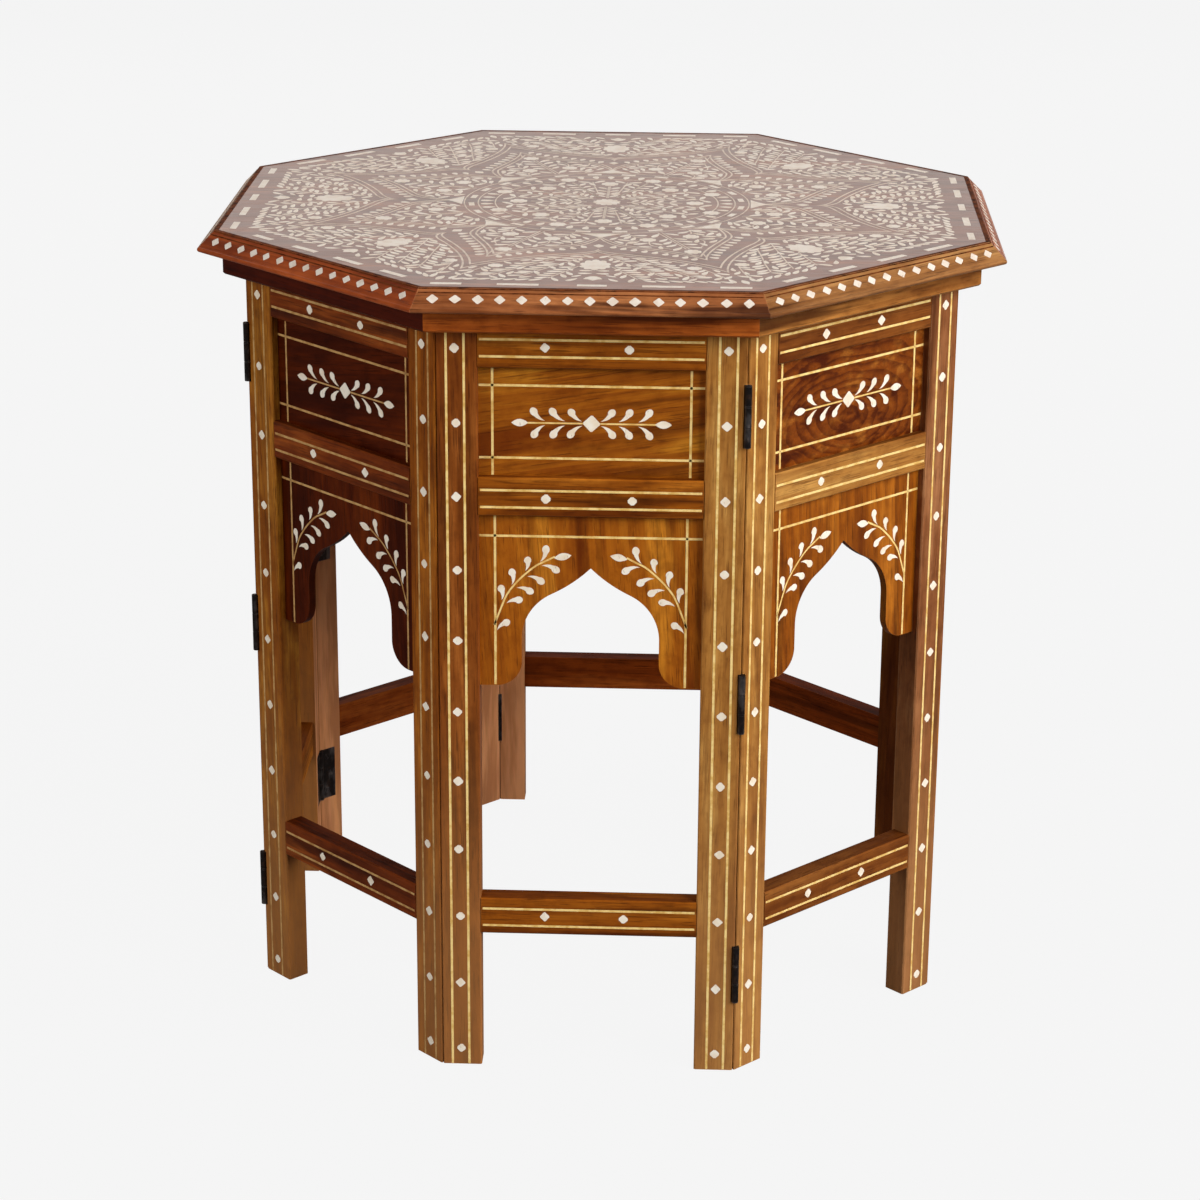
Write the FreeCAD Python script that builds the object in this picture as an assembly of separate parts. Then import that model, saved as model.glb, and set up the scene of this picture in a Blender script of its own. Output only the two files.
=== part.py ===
"""Octagonal folding table: eight hinged frame panels under a lift-off inlaid top.

The front panel faces -Y, +Z is up and the origin is on the floor under the centre.
Left and right are as seen from outside, facing a panel.
"""
import FreeCAD, Part
import math
import os

Vector = FreeCAD.Vector

# Whole table
panel_names = ["front", "front_right", "right", "back_right", "back", "back_left", "left", "front_left"]
table_height = 508.0
top_across = 500.0
top_overhang = 27.9

# Frame of one panel
leg_width = 25.0
leg_thickness = 15.0
leg_joint_gap = 0.6
rail_height = 24.0
rail_thickness = 13.0
tenon_length = 12.0
arris_chamfer = 0.8
frieze_height = 67.0
arch_board_height = 109.5
stretcher_clearance = 91.5

# Boards held in the grooves of the frame
board_recess = 5.0
board_thickness = 5.0
groove_depth = 5.0

# Ogee arch cut in the lower board
arch_jamb_width = 25.5
arch_spring_height = 30.5
arch_rise_share = 1.096
arch_shoulder_angle = 64.0
arch_shoulder_share = 0.77
arch_lobe_share = 0.61

# Lift-off top
top_thickness = 13.0
edge_run = 10.5
nose_height = 3.2
nose_share = 0.35
skirt_height = 15.0
skirt_setback = 14.8
skirt_width = 32.0
skirt_chamfer = 1.2

# Butt hinges, three to a corner post
hinge_height = 38.0
hinge_top_margin = 51.0
hinge_bottom_margin = 67.0
hinge_axis_offset = 0.4
leaf_thickness = 1.2
leaf_width = 13.5
barrel_radius = 2.1
barrel_clearance = 0.3
knuckle_count = 3
knuckle_gap = 0.3
knuckle_sides = 12
pin_radius = 1.0
pin_clearance = 0.05
pin_sides = 6

# Length by which a cutting body passes the face it cuts
overrun = 5.0

half_turn = math.pi / len(panel_names)
field_across = top_across - 2 * edge_run
skirt_across = top_across - 2 * skirt_setback
top_base = table_height - top_thickness
base_height = top_base - skirt_height
apothem = top_across / 2 - top_overhang
base_side = 2 * apothem * math.tan(half_turn)
mitre_run = leg_thickness * math.tan(half_turn)
frame_half = base_side / 2 - leg_width
corner_half = base_side / 2 - leg_joint_gap / 2 / math.cos(half_turn)
outer_face = -apothem
board_face = outer_face + board_recess
top_rail_base = base_height - rail_height
middle_rail_base = top_rail_base - frieze_height - rail_height
arch_board_base = middle_rail_base - arch_board_height
rail_bases = [top_rail_base, middle_rail_base, stretcher_clearance]
hinge_centres = [base_height - hinge_top_margin, hinge_bottom_margin]
hinge_centres.append(sum(hinge_centres) / len(hinge_centres))


def prism(points, base, height):
    """Upright solid over a plan outline given as (x, y) pairs."""
    corners = [Vector(x, y, base) for x, y in points]
    face = Part.Face(Part.makePolygon(corners + corners[:1]))
    return face.extrude(Vector(0, 0, height))


def block(x_low, x_high, y_low, y_high, z_low, z_high):
    """Straight length of timber between three pairs of limits."""
    plan = [(x_low, y_low), (x_high, y_low), (x_high, y_high), (x_low, y_high)]
    return prism(plan, z_low, z_high - z_low)


def mirrored(shape):
    """The same piece on the left side of the front panel."""
    return shape.mirror(Vector(0, 0, 0), Vector(1, 0, 0))


def chamfered(solid, size, wanted):
    """Break the straight edges for which wanted(start, end) is true."""
    edges = []
    for edge in solid.Edges:
        if wanted(edge.Vertexes[0].Point, edge.Vertexes[-1].Point):
            edges.append(edge)
    return solid.makeChamfer(size, edges)


def on_plane(value, level):
    """Whether a coordinate lies on a level, to a share of the smallest fit."""
    return abs(value - level) < pin_clearance / 2


def hinge_frame(outside):
    """Pin line of the right-hand post, the way along a leaf and the way into the leg."""
    if outside:
        reach = (apothem + hinge_axis_offset) / math.cos(half_turn)
        along = Vector(-math.sin(half_turn), math.cos(half_turn), 0)
        into = Vector(-math.cos(half_turn), -math.sin(half_turn), 0)
        return Vector(0, 0, 0) - along * reach, along, into, leg_joint_gap / 2
    reach = (apothem - leg_thickness - hinge_axis_offset) / math.cos(half_turn)
    centre = Vector(math.sin(half_turn), -math.cos(half_turn), 0) * reach
    return centre, Vector(-1, 0, 0), Vector(0, -1, 0), hinge_axis_offset


def strip(frame, along_low, along_high, into_low, into_high, base, height):
    """Flat strip of a leaf, measured from the pin line along and into the leg."""
    centre, along, into, face = frame
    limits = [(along_low, into_low), (along_high, into_low), (along_high, into_high), (along_low, into_high)]
    points = [centre + along * reach + into * depth for reach, depth in limits]
    return prism([(point.x, point.y) for point in points], base, height)


def rounded_bar(centre, radius, sides, base, height, turn):
    """Many-sided upright bar with its corners on the radius."""
    angles = [turn + 2 * math.pi * side / sides for side in range(sides)]
    points = [(centre.x + radius * math.cos(a), centre.y + radius * math.sin(a)) for a in angles]
    return prism(points, base, height)


def knuckle_span(base, index):
    """Foot and length of one knuckle of a hinge that starts at base."""
    length = (hinge_height - knuckle_gap * (knuckle_count - 1)) / knuckle_count
    return base + index * (length + knuckle_gap), length


def hinge_leaf(outside, first, base):
    """One leaf with every second knuckle rolled round the pin line."""
    frame = hinge_frame(outside)
    centre, along, into, face = frame
    clear = barrel_radius + barrel_clearance
    back = face + leaf_thickness
    leaf = strip(frame, clear, leaf_width, face, back, base, hinge_height)
    bore_radius = (pin_radius + pin_clearance) / math.cos(math.pi / pin_sides)
    turn = math.atan2(along.y, along.x)
    for index in range(first, knuckle_count, 2):
        foot, length = knuckle_span(base, index)
        tab = strip(frame, 0, clear, face, back, foot, length)
        barrel = rounded_bar(centre, barrel_radius, knuckle_sides, foot, length, turn)
        leaf = leaf.fuse(tab).fuse(barrel)
    bore = rounded_bar(centre, bore_radius, pin_sides, base - overrun, hinge_height + 2 * overrun, turn)
    return leaf.cut(bore).removeSplitter()


def hinge_pin(outside, base):
    """Pin through all the knuckles of one hinge."""
    centre = hinge_frame(outside)[0]
    return rounded_bar(centre, pin_radius, pin_sides, base, hinge_height, 0)


def hinge_seat(outside, base):
    """Room that one hinge takes out of a leg: a sunk leaf and a notch for the barrel."""
    frame = hinge_frame(outside)
    face = frame[-1]
    clear = barrel_radius + barrel_clearance
    sunk = strip(frame, 0, leaf_width, -overrun, face + leaf_thickness, base, hinge_height)
    notch_height = hinge_height + 2 * barrel_clearance
    notch = strip(frame, -clear, clear, -overrun, clear, base - barrel_clearance, notch_height)
    return sunk.fuse(notch)


def leg(outside):
    """Right-hand leg: a mitred post grooved and mortised for the boards and rails."""
    back_face = outer_face + leg_thickness
    outline = [(frame_half, outer_face), (corner_half, outer_face)]
    outline.append((corner_half - mitre_run, back_face))
    outline.append((frame_half, back_face))
    post = prism(outline, 0, base_height)
    post = chamfered(post, arris_chamfer, lambda a, b: on_plane(a.y, outer_face) and a.z != b.z)
    tongue_top = top_rail_base + groove_depth
    cuts = [block(frame_half - overrun, frame_half + groove_depth, board_face,
                  board_face + board_thickness, arch_board_base, tongue_top)]
    for base in rail_bases:
        cuts.append(tenon(base, frame_half - overrun))
    for middle in hinge_centres:
        cuts.append(hinge_seat(outside, middle - hinge_height / 2))
    for body in cuts:
        post = post.cut(body)
    return post


def tenon(base, start):
    """Tongue on the right-hand end of a rail, in line with the board grooves."""
    return block(start, frame_half + tenon_length, board_face, board_face + board_thickness,
                 base + groove_depth, base + rail_height - groove_depth)


def rail(base, grooved_above, grooved_below):
    """Rail with a tenon at each end and a groove for each board it holds."""
    top = base + rail_height
    bar = block(-frame_half, frame_half, outer_face, outer_face + rail_thickness, base, top)
    bar = chamfered(bar, arris_chamfer, lambda a, b: on_plane(a.y, outer_face) and on_plane(a.y, b.y)
                    and on_plane(a.z, b.z))
    end = tenon(base, frame_half - overrun)
    bar = bar.fuse(end).fuse(mirrored(end))
    reach = frame_half + tenon_length + overrun
    groove = block(-reach, reach, board_face, board_face + board_thickness, -overrun, groove_depth)
    if grooved_below:
        bar = bar.cut(groove.translated(Vector(0, 0, base)))
    if grooved_above:
        upside = groove.mirror(Vector(0, 0, 0), Vector(0, 0, 1))
        bar = bar.cut(upside.translated(Vector(0, 0, top)))
    return bar.removeSplitter()


def frieze_board():
    """Plain upper board, let into the frame on all four sides."""
    half = frame_half + groove_depth
    low = top_rail_base - frieze_height - groove_depth
    return block(-half, half, board_face, board_face + board_thickness, low, top_rail_base + groove_depth)


def tangent_arc(start, direction, end):
    """Arc that leaves start in a direction and reaches end."""
    chord = end - start
    across = Vector(-chord.z, 0, chord.x)
    side = 1 if across.dot(direction) > 0 else -1
    lean = math.acos(direction.dot(chord) / direction.Length / chord.Length)
    middle = (start + end) * 0.5 + across * (side * math.tan(lean / 2) / 2)
    return Part.Arc(start, middle, end).toShape()


def arch_edges():
    """Right half of the arch, from the foot of its lobe up to the point."""
    half = frame_half - arch_jamb_width
    lobe = arch_jamb_width * arch_lobe_share
    spring = arch_board_base + arch_spring_height
    shoulder = half * arch_shoulder_share
    rise = half * arch_rise_share
    angle = math.radians(arch_shoulder_angle)
    foot = Vector(half + lobe, board_face, arch_board_base)
    jamb = Vector(half, board_face, arch_board_base + lobe)
    springing = Vector(half, board_face, spring)
    swing = Vector(math.cos(angle), 0, math.sin(angle)) * shoulder
    turning = Vector(half - shoulder, board_face, spring) + swing
    point = Vector(0, board_face, spring + rise)
    onward = Vector(-math.sin(angle), 0, math.cos(angle))
    return [tangent_arc(foot, Vector(-1, 0, 0), jamb),
            Part.makeLine(jamb, springing),
            tangent_arc(springing, Vector(0, 0, 1), turning),
            tangent_arc(turning, onward, point)]


def arch_board():
    """Lower board, cut to an ogee arch with a rounded lobe at each foot."""
    side = frame_half + groove_depth
    top = middle_rail_base + groove_depth
    right = arch_edges()
    left = [edge.mirror(Vector(0, 0, 0), Vector(1, 0, 0)) for edge in right]
    foot = right[0].Vertexes[0].Point
    corners = [foot, Vector(side, board_face, arch_board_base), Vector(side, board_face, top)]
    corners.append(Vector(-side, board_face, top))
    corners.append(Vector(-side, board_face, arch_board_base))
    corners.append(Vector(-foot.x, board_face, arch_board_base))
    edges = right + left
    for start, end in zip(corners, corners[1:]):
        edges.append(Part.makeLine(start, end))
    wire = Part.Wire(Part.__sortEdges__(edges))
    return Part.Face(wire).extrude(Vector(0, board_thickness, 0))


def mitre_wedge(reach, base, height):
    """Sector of the octagon that belongs to the front side."""
    spread = reach * math.tan(half_turn)
    return prism([(0, 0), (-spread, -reach), (spread, -reach)], base, height)


def octagon(across, base, height):
    """Upright octagonal slab measured across its flats, flat side to the front."""
    radius = across / 2 / math.cos(half_turn)
    angles = [half_turn * (2 * side + 1) for side in range(len(panel_names))]
    return prism([(radius * math.sin(a), -radius * math.cos(a)) for a in angles], base, height)


def ring_of_eight(profile, reach):
    """Eight mitred lengths of one moulding, given as a closed face in the YZ plane."""
    spread = reach * math.tan(half_turn)
    length = profile.translated(Vector(-spread, 0, 0)).extrude(Vector(2 * spread, 0, 0))
    box = length.BoundBox
    piece = length.common(mitre_wedge(reach + overrun, box.ZMin - overrun, box.ZLength + 2 * overrun))
    return Part.makeCompound([turned(piece, side) for side in range(len(panel_names))])


def edge_moulding():
    """Bevelled edge of the top: a slope for the diamond inlay and a rounded nose."""
    inner = -field_across / 2
    outer = -top_across / 2
    nose_top = top_base + nose_height
    nose_depth = nose_height * nose_share
    crest = Vector(0, inner, table_height)
    brow = Vector(0, outer + nose_depth, nose_top)
    nose = Vector(0, outer, top_base + nose_height / 2)
    chin = Vector(0, outer + nose_depth, top_base)
    heel = Vector(0, inner, top_base)
    edges = [Part.makeLine(heel, crest), Part.makeLine(crest, brow)]
    edges.append(Part.Arc(brow, nose, chin).toShape())
    edges.append(Part.makeLine(chin, heel))
    return ring_of_eight(Part.Face(Part.Wire(edges)), -outer)


def skirt():
    """Octagonal ring of battens under the top, which rests on the leg tops."""
    outer = -skirt_across / 2
    inner = outer + skirt_width
    edge = [Vector(0, outer, top_base), Vector(0, outer, base_height + skirt_chamfer)]
    edge.append(Vector(0, outer + skirt_chamfer, base_height))
    edge.append(Vector(0, inner, base_height))
    edge.append(Vector(0, inner, top_base))
    return ring_of_eight(Part.Face(Part.makePolygon(edge + edge[:1])), -outer)


def turned(shape, side):
    """A front piece carried round to another side of the octagon."""
    copy = shape.copy()
    copy.rotate(Vector(0, 0, 0), Vector(0, 0, 1), math.degrees(2 * half_turn * side))
    return copy


def panel_pieces(outside_right):
    """Every piece of one front-facing panel; the outside hinges are on one of its posts."""
    hinged = leg(True)
    folded = leg(False)
    first = 0 if outside_right else 1
    bases = [middle - hinge_height / 2 for middle in hinge_centres]
    outer_leaves = [hinge_leaf(True, first, base) for base in bases]
    inner_leaves = [hinge_leaf(False, first, base) for base in bases]
    outer_pins = [hinge_pin(True, base) for base in bases]
    inner_pins = [hinge_pin(False, base) for base in bases]
    pieces = {}
    if outside_right:
        pieces["right_leg"] = hinged
        pieces["left_leg"] = mirrored(folded)
        inner_leaves = [mirrored(leaf) for leaf in inner_leaves]
        pins = outer_pins + [mirrored(pin) for pin in inner_pins]
        pieces["hinge_pins"] = Part.makeCompound(pins)
    else:
        pieces["right_leg"] = folded
        pieces["left_leg"] = mirrored(hinged)
        outer_leaves = [mirrored(leaf) for leaf in outer_leaves]
    rails = [rail(top_rail_base, False, True), rail(middle_rail_base, True, True)]
    rails.append(rail(stretcher_clearance, False, False))
    pieces["rails"] = Part.makeCompound(rails)
    pieces["frieze_board"] = frieze_board()
    pieces["arch_board"] = arch_board()
    pieces["hinge_leaves"] = Part.makeCompound(outer_leaves + inner_leaves)
    return pieces


def build():
    """All the pieces of the table, by name."""
    nodes = {}
    kinds = [panel_pieces(True), panel_pieces(False)]
    for side, name in enumerate(panel_names):
        for piece, shape in kinds[side % 2].items():
            nodes[name + "_panel_" + piece] = turned(shape, side)
    nodes["top_board"] = octagon(field_across, top_base, top_thickness)
    nodes["top_edge_moulding"] = edge_moulding()
    nodes["top_skirt"] = skirt()
    return nodes


os.makedirs("parts", exist_ok=True)
for node_name, node_shape in build().items():
    node_shape.exportStep("parts/" + node_name + ".step")
    print(node_name, len(node_shape.Solids), node_shape.isValid(), round(node_shape.Volume))
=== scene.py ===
"""Scene of the bone inlay folding table.

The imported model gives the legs, rails, boards, top, moulding and skirt, which keep their
meshes and get their timber here. The inlay, the stringing, the hinges and their pins are
built here. Lengths are in millimetres and angles in degrees unless a name says otherwise.
A panel is drawn as the front one, which faces -Y, and is turned to its place.
"""

import logging
import math
import random
from dataclasses import dataclass, field
from enum import Enum
from typing import Iterable, Optional, Sequence, Union

import bmesh
import bpy
from mathutils import Euler, Matrix, Vector, geometry


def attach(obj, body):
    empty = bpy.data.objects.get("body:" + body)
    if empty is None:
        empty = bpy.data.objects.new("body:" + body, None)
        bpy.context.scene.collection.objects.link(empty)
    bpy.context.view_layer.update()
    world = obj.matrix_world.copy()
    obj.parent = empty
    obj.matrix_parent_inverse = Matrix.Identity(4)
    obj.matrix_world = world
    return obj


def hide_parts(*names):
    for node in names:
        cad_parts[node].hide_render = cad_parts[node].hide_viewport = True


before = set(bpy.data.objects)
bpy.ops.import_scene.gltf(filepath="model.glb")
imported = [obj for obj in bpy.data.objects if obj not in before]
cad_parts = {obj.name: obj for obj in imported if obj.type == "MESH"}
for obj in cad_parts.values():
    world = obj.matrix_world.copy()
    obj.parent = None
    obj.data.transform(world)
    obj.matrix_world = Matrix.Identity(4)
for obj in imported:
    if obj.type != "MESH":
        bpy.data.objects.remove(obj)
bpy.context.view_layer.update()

Socket = bpy.types.NodeSocket
Material = bpy.types.Material
Shape = bmesh.types.BMesh
Colour = tuple[float, float, float, float]
Point = tuple[float, float]
Pair = tuple[float, float]
Points = tuple[Point, ...]
Numbers = tuple[float, ...]
Triple = tuple[float, float, float]
Span = tuple[Point, Point, Point, Point]
Disc = tuple[Point, float]
Value = Union[Socket, float, Sequence[float]]
Sockets = dict[Union[str, int], Value]

MILLIMETRE = 0.001
SIDES = 8
STEP = math.tau / SIDES
HALF_STEP = STEP / 2
CENTRE: Point = (0.0, 0.0)
BOTH_WAYS = (-1.0, 1.0)
EVEN: Triple = (1.0, 1.0, 1.0)
WHITE: Colour = (*EVEN, 1.0)
log = logging.getLogger("folding_table")


def tint(red: int, green: int, blue: int) -> Colour:
    """Turn a colour as seen, in steps of 0 to 255, into linear light.

    Args:
        red: Red as seen.
        green: Green as seen.
        blue: Blue as seen.

    Returns:
        The linear colour with full alpha.
    """
    linear = [((c / 255 + 0.055) / 1.055) ** 2.4 if c > 10 else c / 255 / 12.92
              for c in (red, green, blue)]
    return (linear[0], linear[1], linear[2], 1.0)


class Handwork(random.Random):
    """Source of the small unevenness of handwork, the same in each run."""

    def stray(self, most: float) -> float:
        """Small amount to either side."""
        return self.uniform(-most, most)


class PanelSide(Enum):
    """The eight panels of the base, by their step round the octagon."""

    FRONT = 0
    FRONT_RIGHT = 1
    RIGHT = 2
    BACK_RIGHT = 3
    BACK = 4
    BACK_LEFT = 5
    LEFT = 6
    FRONT_LEFT = 7

    @property
    def body(self) -> str:
        """Name of the panel's body."""
        return f"{self.name.lower()}_panel"

    @property
    def turn(self) -> Matrix:
        """Turn from the front to this side."""
        return Matrix.Rotation(self.value * STEP, 4, "Z")

    @property
    def carries_pins(self) -> bool:
        """Whether the panel holds the outer knuckles and the pins."""
        return self.value % 2 == 0


class GrainRun(Enum):
    """How the grain of a piece runs in its panel, with its angle."""

    LEVEL = 0
    UPRIGHT = 90
    KNOT = 78


class Bench:
    """Places and wires the nodes of one node tree."""

    def __init__(self, tree: bpy.types.NodeTree) -> None:
        """Keep the tree that the nodes go into."""
        self.tree = tree

    def put(self, kind: str, sockets: Optional[Sockets] = None,
            **settings: object) -> bpy.types.Node:
        """Add a node.

        Args:
            kind: Blender's name of the node type.
            sockets: Value or source socket for each input named.
            settings: Attributes of the node itself.

        Returns:
            The new node.
        """
        node = self.tree.nodes.new(kind)
        for key, value in settings.items():
            setattr(node, key, value)
        for key, value in (sockets or {}).items():
            self.feed(node.inputs[key], value)
        return node

    def feed(self, socket: Socket, value: Value) -> None:
        """Link a source to an input, or set the input's own value.

        Args:
            socket: The input.
            value: The source or the value.
        """
        if isinstance(value, Socket):
            self.tree.links.new(value, socket)
        else:
            socket.default_value = value

    def sum(self, operation: str, first: Value, second: Value = 0.0) -> Socket:
        """Result of one arithmetic step on two values."""
        return self.put("ShaderNodeMath", {0: first, 1: second}, operation=operation).outputs[0]

    def vector(self, operation: str, first: Value, second: Value) -> Socket:
        """Result of one step on two vectors."""
        node = self.put("ShaderNodeVectorMath", {0: first, 1: second}, operation=operation)
        return node.outputs["Value" if operation == "DOT_PRODUCT" else "Vector"]

    def axis(self, vector: Value, name: str) -> Socket:
        """One coordinate of a place or a direction."""
        return self.put("ShaderNodeSeparateXYZ", {0: vector}).outputs[name]

    def mask(self, value: Value, low: float, high: float, to_low: float = 0.0,
             to_high: float = 1.0) -> Socket:
        """Smooth step of a value between two limits.

        Args:
            value: The value.
            low: Where the step starts.
            high: Where it ends.
            to_low: Result at its start.
            to_high: Result at its end.

        Returns:
            The result.
        """
        sockets = {"Value": value, "From Min": low, "From Max": high, "To Min": to_low,
                   "To Max": to_high}
        return self.put("ShaderNodeMapRange", sockets, interpolation_type="SMOOTHSTEP").outputs[0]

    def mix(self, share: Value, first: Value, second: Value, blend: str = "MIX") -> Socket:
        """Colour between two colours."""
        sockets = {0: share, 6: first, 7: second}
        return self.put("ShaderNodeMix", sockets, data_type="RGBA", blend_type=blend).outputs[2]

    def stain(self, share: Value, colour: Value, tone: Value) -> Socket:
        """Colour that a share of a tone multiplies."""
        return self.mix(share, colour, tone, "MULTIPLY")

    def noise(self, vector: Value, scale: float, detail: float = 2.0,
              roughness: float = 0.5) -> Socket:
        """Value of a noise at a scale in cycles per metre."""
        sockets = {"Vector": vector, "Scale": scale, "Detail": detail, "Roughness": roughness}
        return self.put("ShaderNodeTexNoise", sockets).outputs[0]

    def streaks(self, vector: Value, along: float, scale: float, detail: float = 2.0,
                roughness: float = 0.5) -> Socket:
        """Noise drawn out along X, where it keeps a share of its cycles."""
        drawn_out = self.vector("MULTIPLY", vector, (along, 1.0, 1.0))
        return self.noise(drawn_out, scale, detail, roughness)

    def bump(self, height: Value, strength: float, depth: float = 0.0002) -> Socket:
        """Normal of a fine relief, with its depth in metres."""
        sockets = {"Height": height, "Strength": strength, "Distance": depth}
        return self.put("ShaderNodeBump", sockets).outputs[0]

    def group(self, tree: bpy.types.NodeTree, sockets: Sockets) -> bpy.types.Node:
        """Place a shared node group with its own values."""
        return self.put("ShaderNodeGroup", sockets, node_tree=tree)


class MaterialBench(Bench):
    """Bench of a new material, with its shader and the place on the piece."""

    def __init__(self, name: str) -> None:
        """Start the material.

        Args:
            name: Name of the material.
        """
        self.material = bpy.data.materials.new(name)
        self.material.use_nodes = True
        super().__init__(self.material.node_tree)
        self.shader = self.tree.nodes["Principled BSDF"]
        self.place = self.put("ShaderNodeTexCoord").outputs["Object"]

    def coat(self, sockets: Sockets) -> Material:
        """Feed the shader.

        Args:
            sockets: Value or source socket for each of the shader's inputs named.

        Returns:
            The finished material.
        """
        for key, value in sockets.items():
            self.feed(self.shader.inputs[key], value)
        return self.material


class SharedEffects:
    """Node groups that more than one finish uses, each made once."""

    MOTTLE: Colour = (0.56, 0.46, 0.4, 1.0)
    LENGTH_SHIFT = 0.73
    SHADE_STEP = 0.6314
    ARRIS_RADIUS = 0.0012

    def __init__(self) -> None:
        """Build the groups."""
        self.timber = self._timber()
        self.round_octagon = self._round_octagon()
        self.handling = self._handling()

    @staticmethod
    def _start(name: str, inputs: dict[str, str],
               outputs: dict[str, str]) -> tuple[Bench, bpy.types.Node, bpy.types.Node]:
        """Start a group with named sockets.

        Args:
            name: Name of the group.
            inputs: Socket kind for each input.
            outputs: Socket kind for each output.

        Returns:
            The group's bench, its input node and its output node.
        """
        tree = bpy.data.node_groups.new(name, "ShaderNodeTree")
        for way, labels in (("INPUT", inputs), ("OUTPUT", outputs)):
            for label, kind in labels.items():
                tree.interface.new_socket(label, in_out=way, socket_type=f"NodeSocket{kind}")
        bench = Bench(tree)
        return bench, bench.put("NodeGroupInput"), bench.put("NodeGroupOutput")

    def _timber(self) -> bpy.types.NodeTree:
        """Growth rings, fibres, dark streaks and pores along X.

        Returns:
            The node group.
        """
        inputs = {"Vector": "Vector"}
        inputs |= dict.fromkeys(("Light", "Middle", "Dark", "Streak"), "Color")
        inputs |= dict.fromkeys(("Ring Scale", "Ring Amount", "Warp", "Streak Amount"), "Float")
        outputs = {"Color": "Color", "Roughness": "Float", "Height": "Float"}
        bench, given, result = self._start("timber_grain", inputs, outputs)
        place = given.outputs["Vector"]
        slow = bench.vector("MULTIPLY", place, (0.16, 1.0, 1.0))
        wander = bench.put("ShaderNodeTexNoise", {"Vector": slow, "Scale": 16.0, "Detail": 2.0})
        centred = bench.vector("SUBTRACT", wander.outputs["Color"], (0.5, 0.5, 0.5))
        swing = bench.put("ShaderNodeVectorMath", {0: centred, "Scale": given.outputs["Warp"]},
                          operation="SCALE")
        bent = bench.vector("ADD", slow, swing.outputs[0])
        ring_sockets = {"Vector": bent, "Scale": given.outputs["Ring Scale"], "Distortion": 1.6,
                        "Detail": 3.0, "Detail Scale": 1.2, "Detail Roughness": 0.55}
        rings = bench.put("ShaderNodeTexWave", ring_sockets, wave_type="RINGS", rings_direction="X",
                          wave_profile="SAW").outputs["Fac"]
        fibre = bench.streaks(bent, 0.22, 620.0, 3.0, 0.6)
        pores = bench.mask(bench.streaks(place, 0.035, 1500.0, 1.0), 0.6, 0.7)
        broad = bench.noise(bent, 42.0, 3.0, 0.6)
        vein = bench.mask(bench.streaks(bent, 0.35, 90.0, 3.0, 0.62), 0.52, 0.66)
        ripple = bench.streaks(place, 0.6, 150.0, 4.0, 0.65)
        late = bench.sum("MULTIPLY", bench.mask(rings, 0.35, 0.95),
                         bench.mask(broad, 0.25, 0.7, 0.15, 0.45))
        banded = bench.sum("MULTIPLY", late, given.outputs["Ring Amount"])
        layers = (
            (bench.mask(broad, 0.34, 0.48), "Middle"), (bench.mask(broad, 0.52, 0.68), "Dark"),
            (bench.sum("MINIMUM", banded, 0.9), "Dark"),
            (bench.mask(fibre, 0.36, 0.64, 0.3, 0.0), "Dark"),
            (bench.sum("MULTIPLY", vein, given.outputs["Streak Amount"]), "Streak"),
            (bench.sum("MULTIPLY", pores, 0.55), "Streak"))
        colour = given.outputs["Light"]
        for share, tone in layers:
            colour = bench.mix(share, colour, given.outputs[tone])
        mottled = bench.stain(bench.mask(ripple, 0.42, 0.7, 0.0, 0.5), colour, self.MOTTLE)
        bench.feed(result.inputs["Color"], mottled)
        roughness = bench.sum("ADD", bench.mask(fibre, 0.3, 0.7, 0.3, 0.4),
                              bench.sum("MULTIPLY", pores, 0.12))
        bench.feed(result.inputs["Roughness"], roughness)
        height = bench.sum("SUBTRACT", bench.sum("MULTIPLY", fibre, 0.5), pores)
        bench.feed(result.inputs["Height"], height)
        return bench.tree

    def _round_octagon(self) -> bpy.types.NodeTree:
        """Coordinates of the front length for whichever of eight mitred lengths is met.

        Returns:
            The node group.
        """
        outputs = {"Vector": "Vector", "Shade": "Float"}
        bench, given, result = self._start("round_octagon", {"Vector": "Vector"}, outputs)
        place = given.outputs["Vector"]
        back = bench.sum("MULTIPLY", bench.axis(place, "Y"), -1.0)
        angle = bench.sum("ARCTAN2", bench.axis(place, "X"), back)
        nearest = bench.sum("ROUND", bench.sum("DIVIDE", angle, STEP))
        side = bench.sum("FLOORED_MODULO", nearest, SIDES)
        turn = bench.sum("MULTIPLY", side, -STEP)
        front = bench.put("ShaderNodeVectorRotate", {"Vector": place, "Angle": turn},
                          rotation_type="Z_AXIS")
        shift = bench.put("ShaderNodeCombineXYZ",
                          {"X": bench.sum("MULTIPLY", side, self.LENGTH_SHIFT)})
        bench.feed(result.inputs["Vector"], bench.vector("ADD", front.outputs[0], shift.outputs[0]))
        steps = bench.sum("ADD", bench.sum("MULTIPLY", side, self.SHADE_STEP), 0.5)
        bench.feed(result.inputs["Shade"], bench.sum("FRACT", steps))
        return bench.tree

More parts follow.
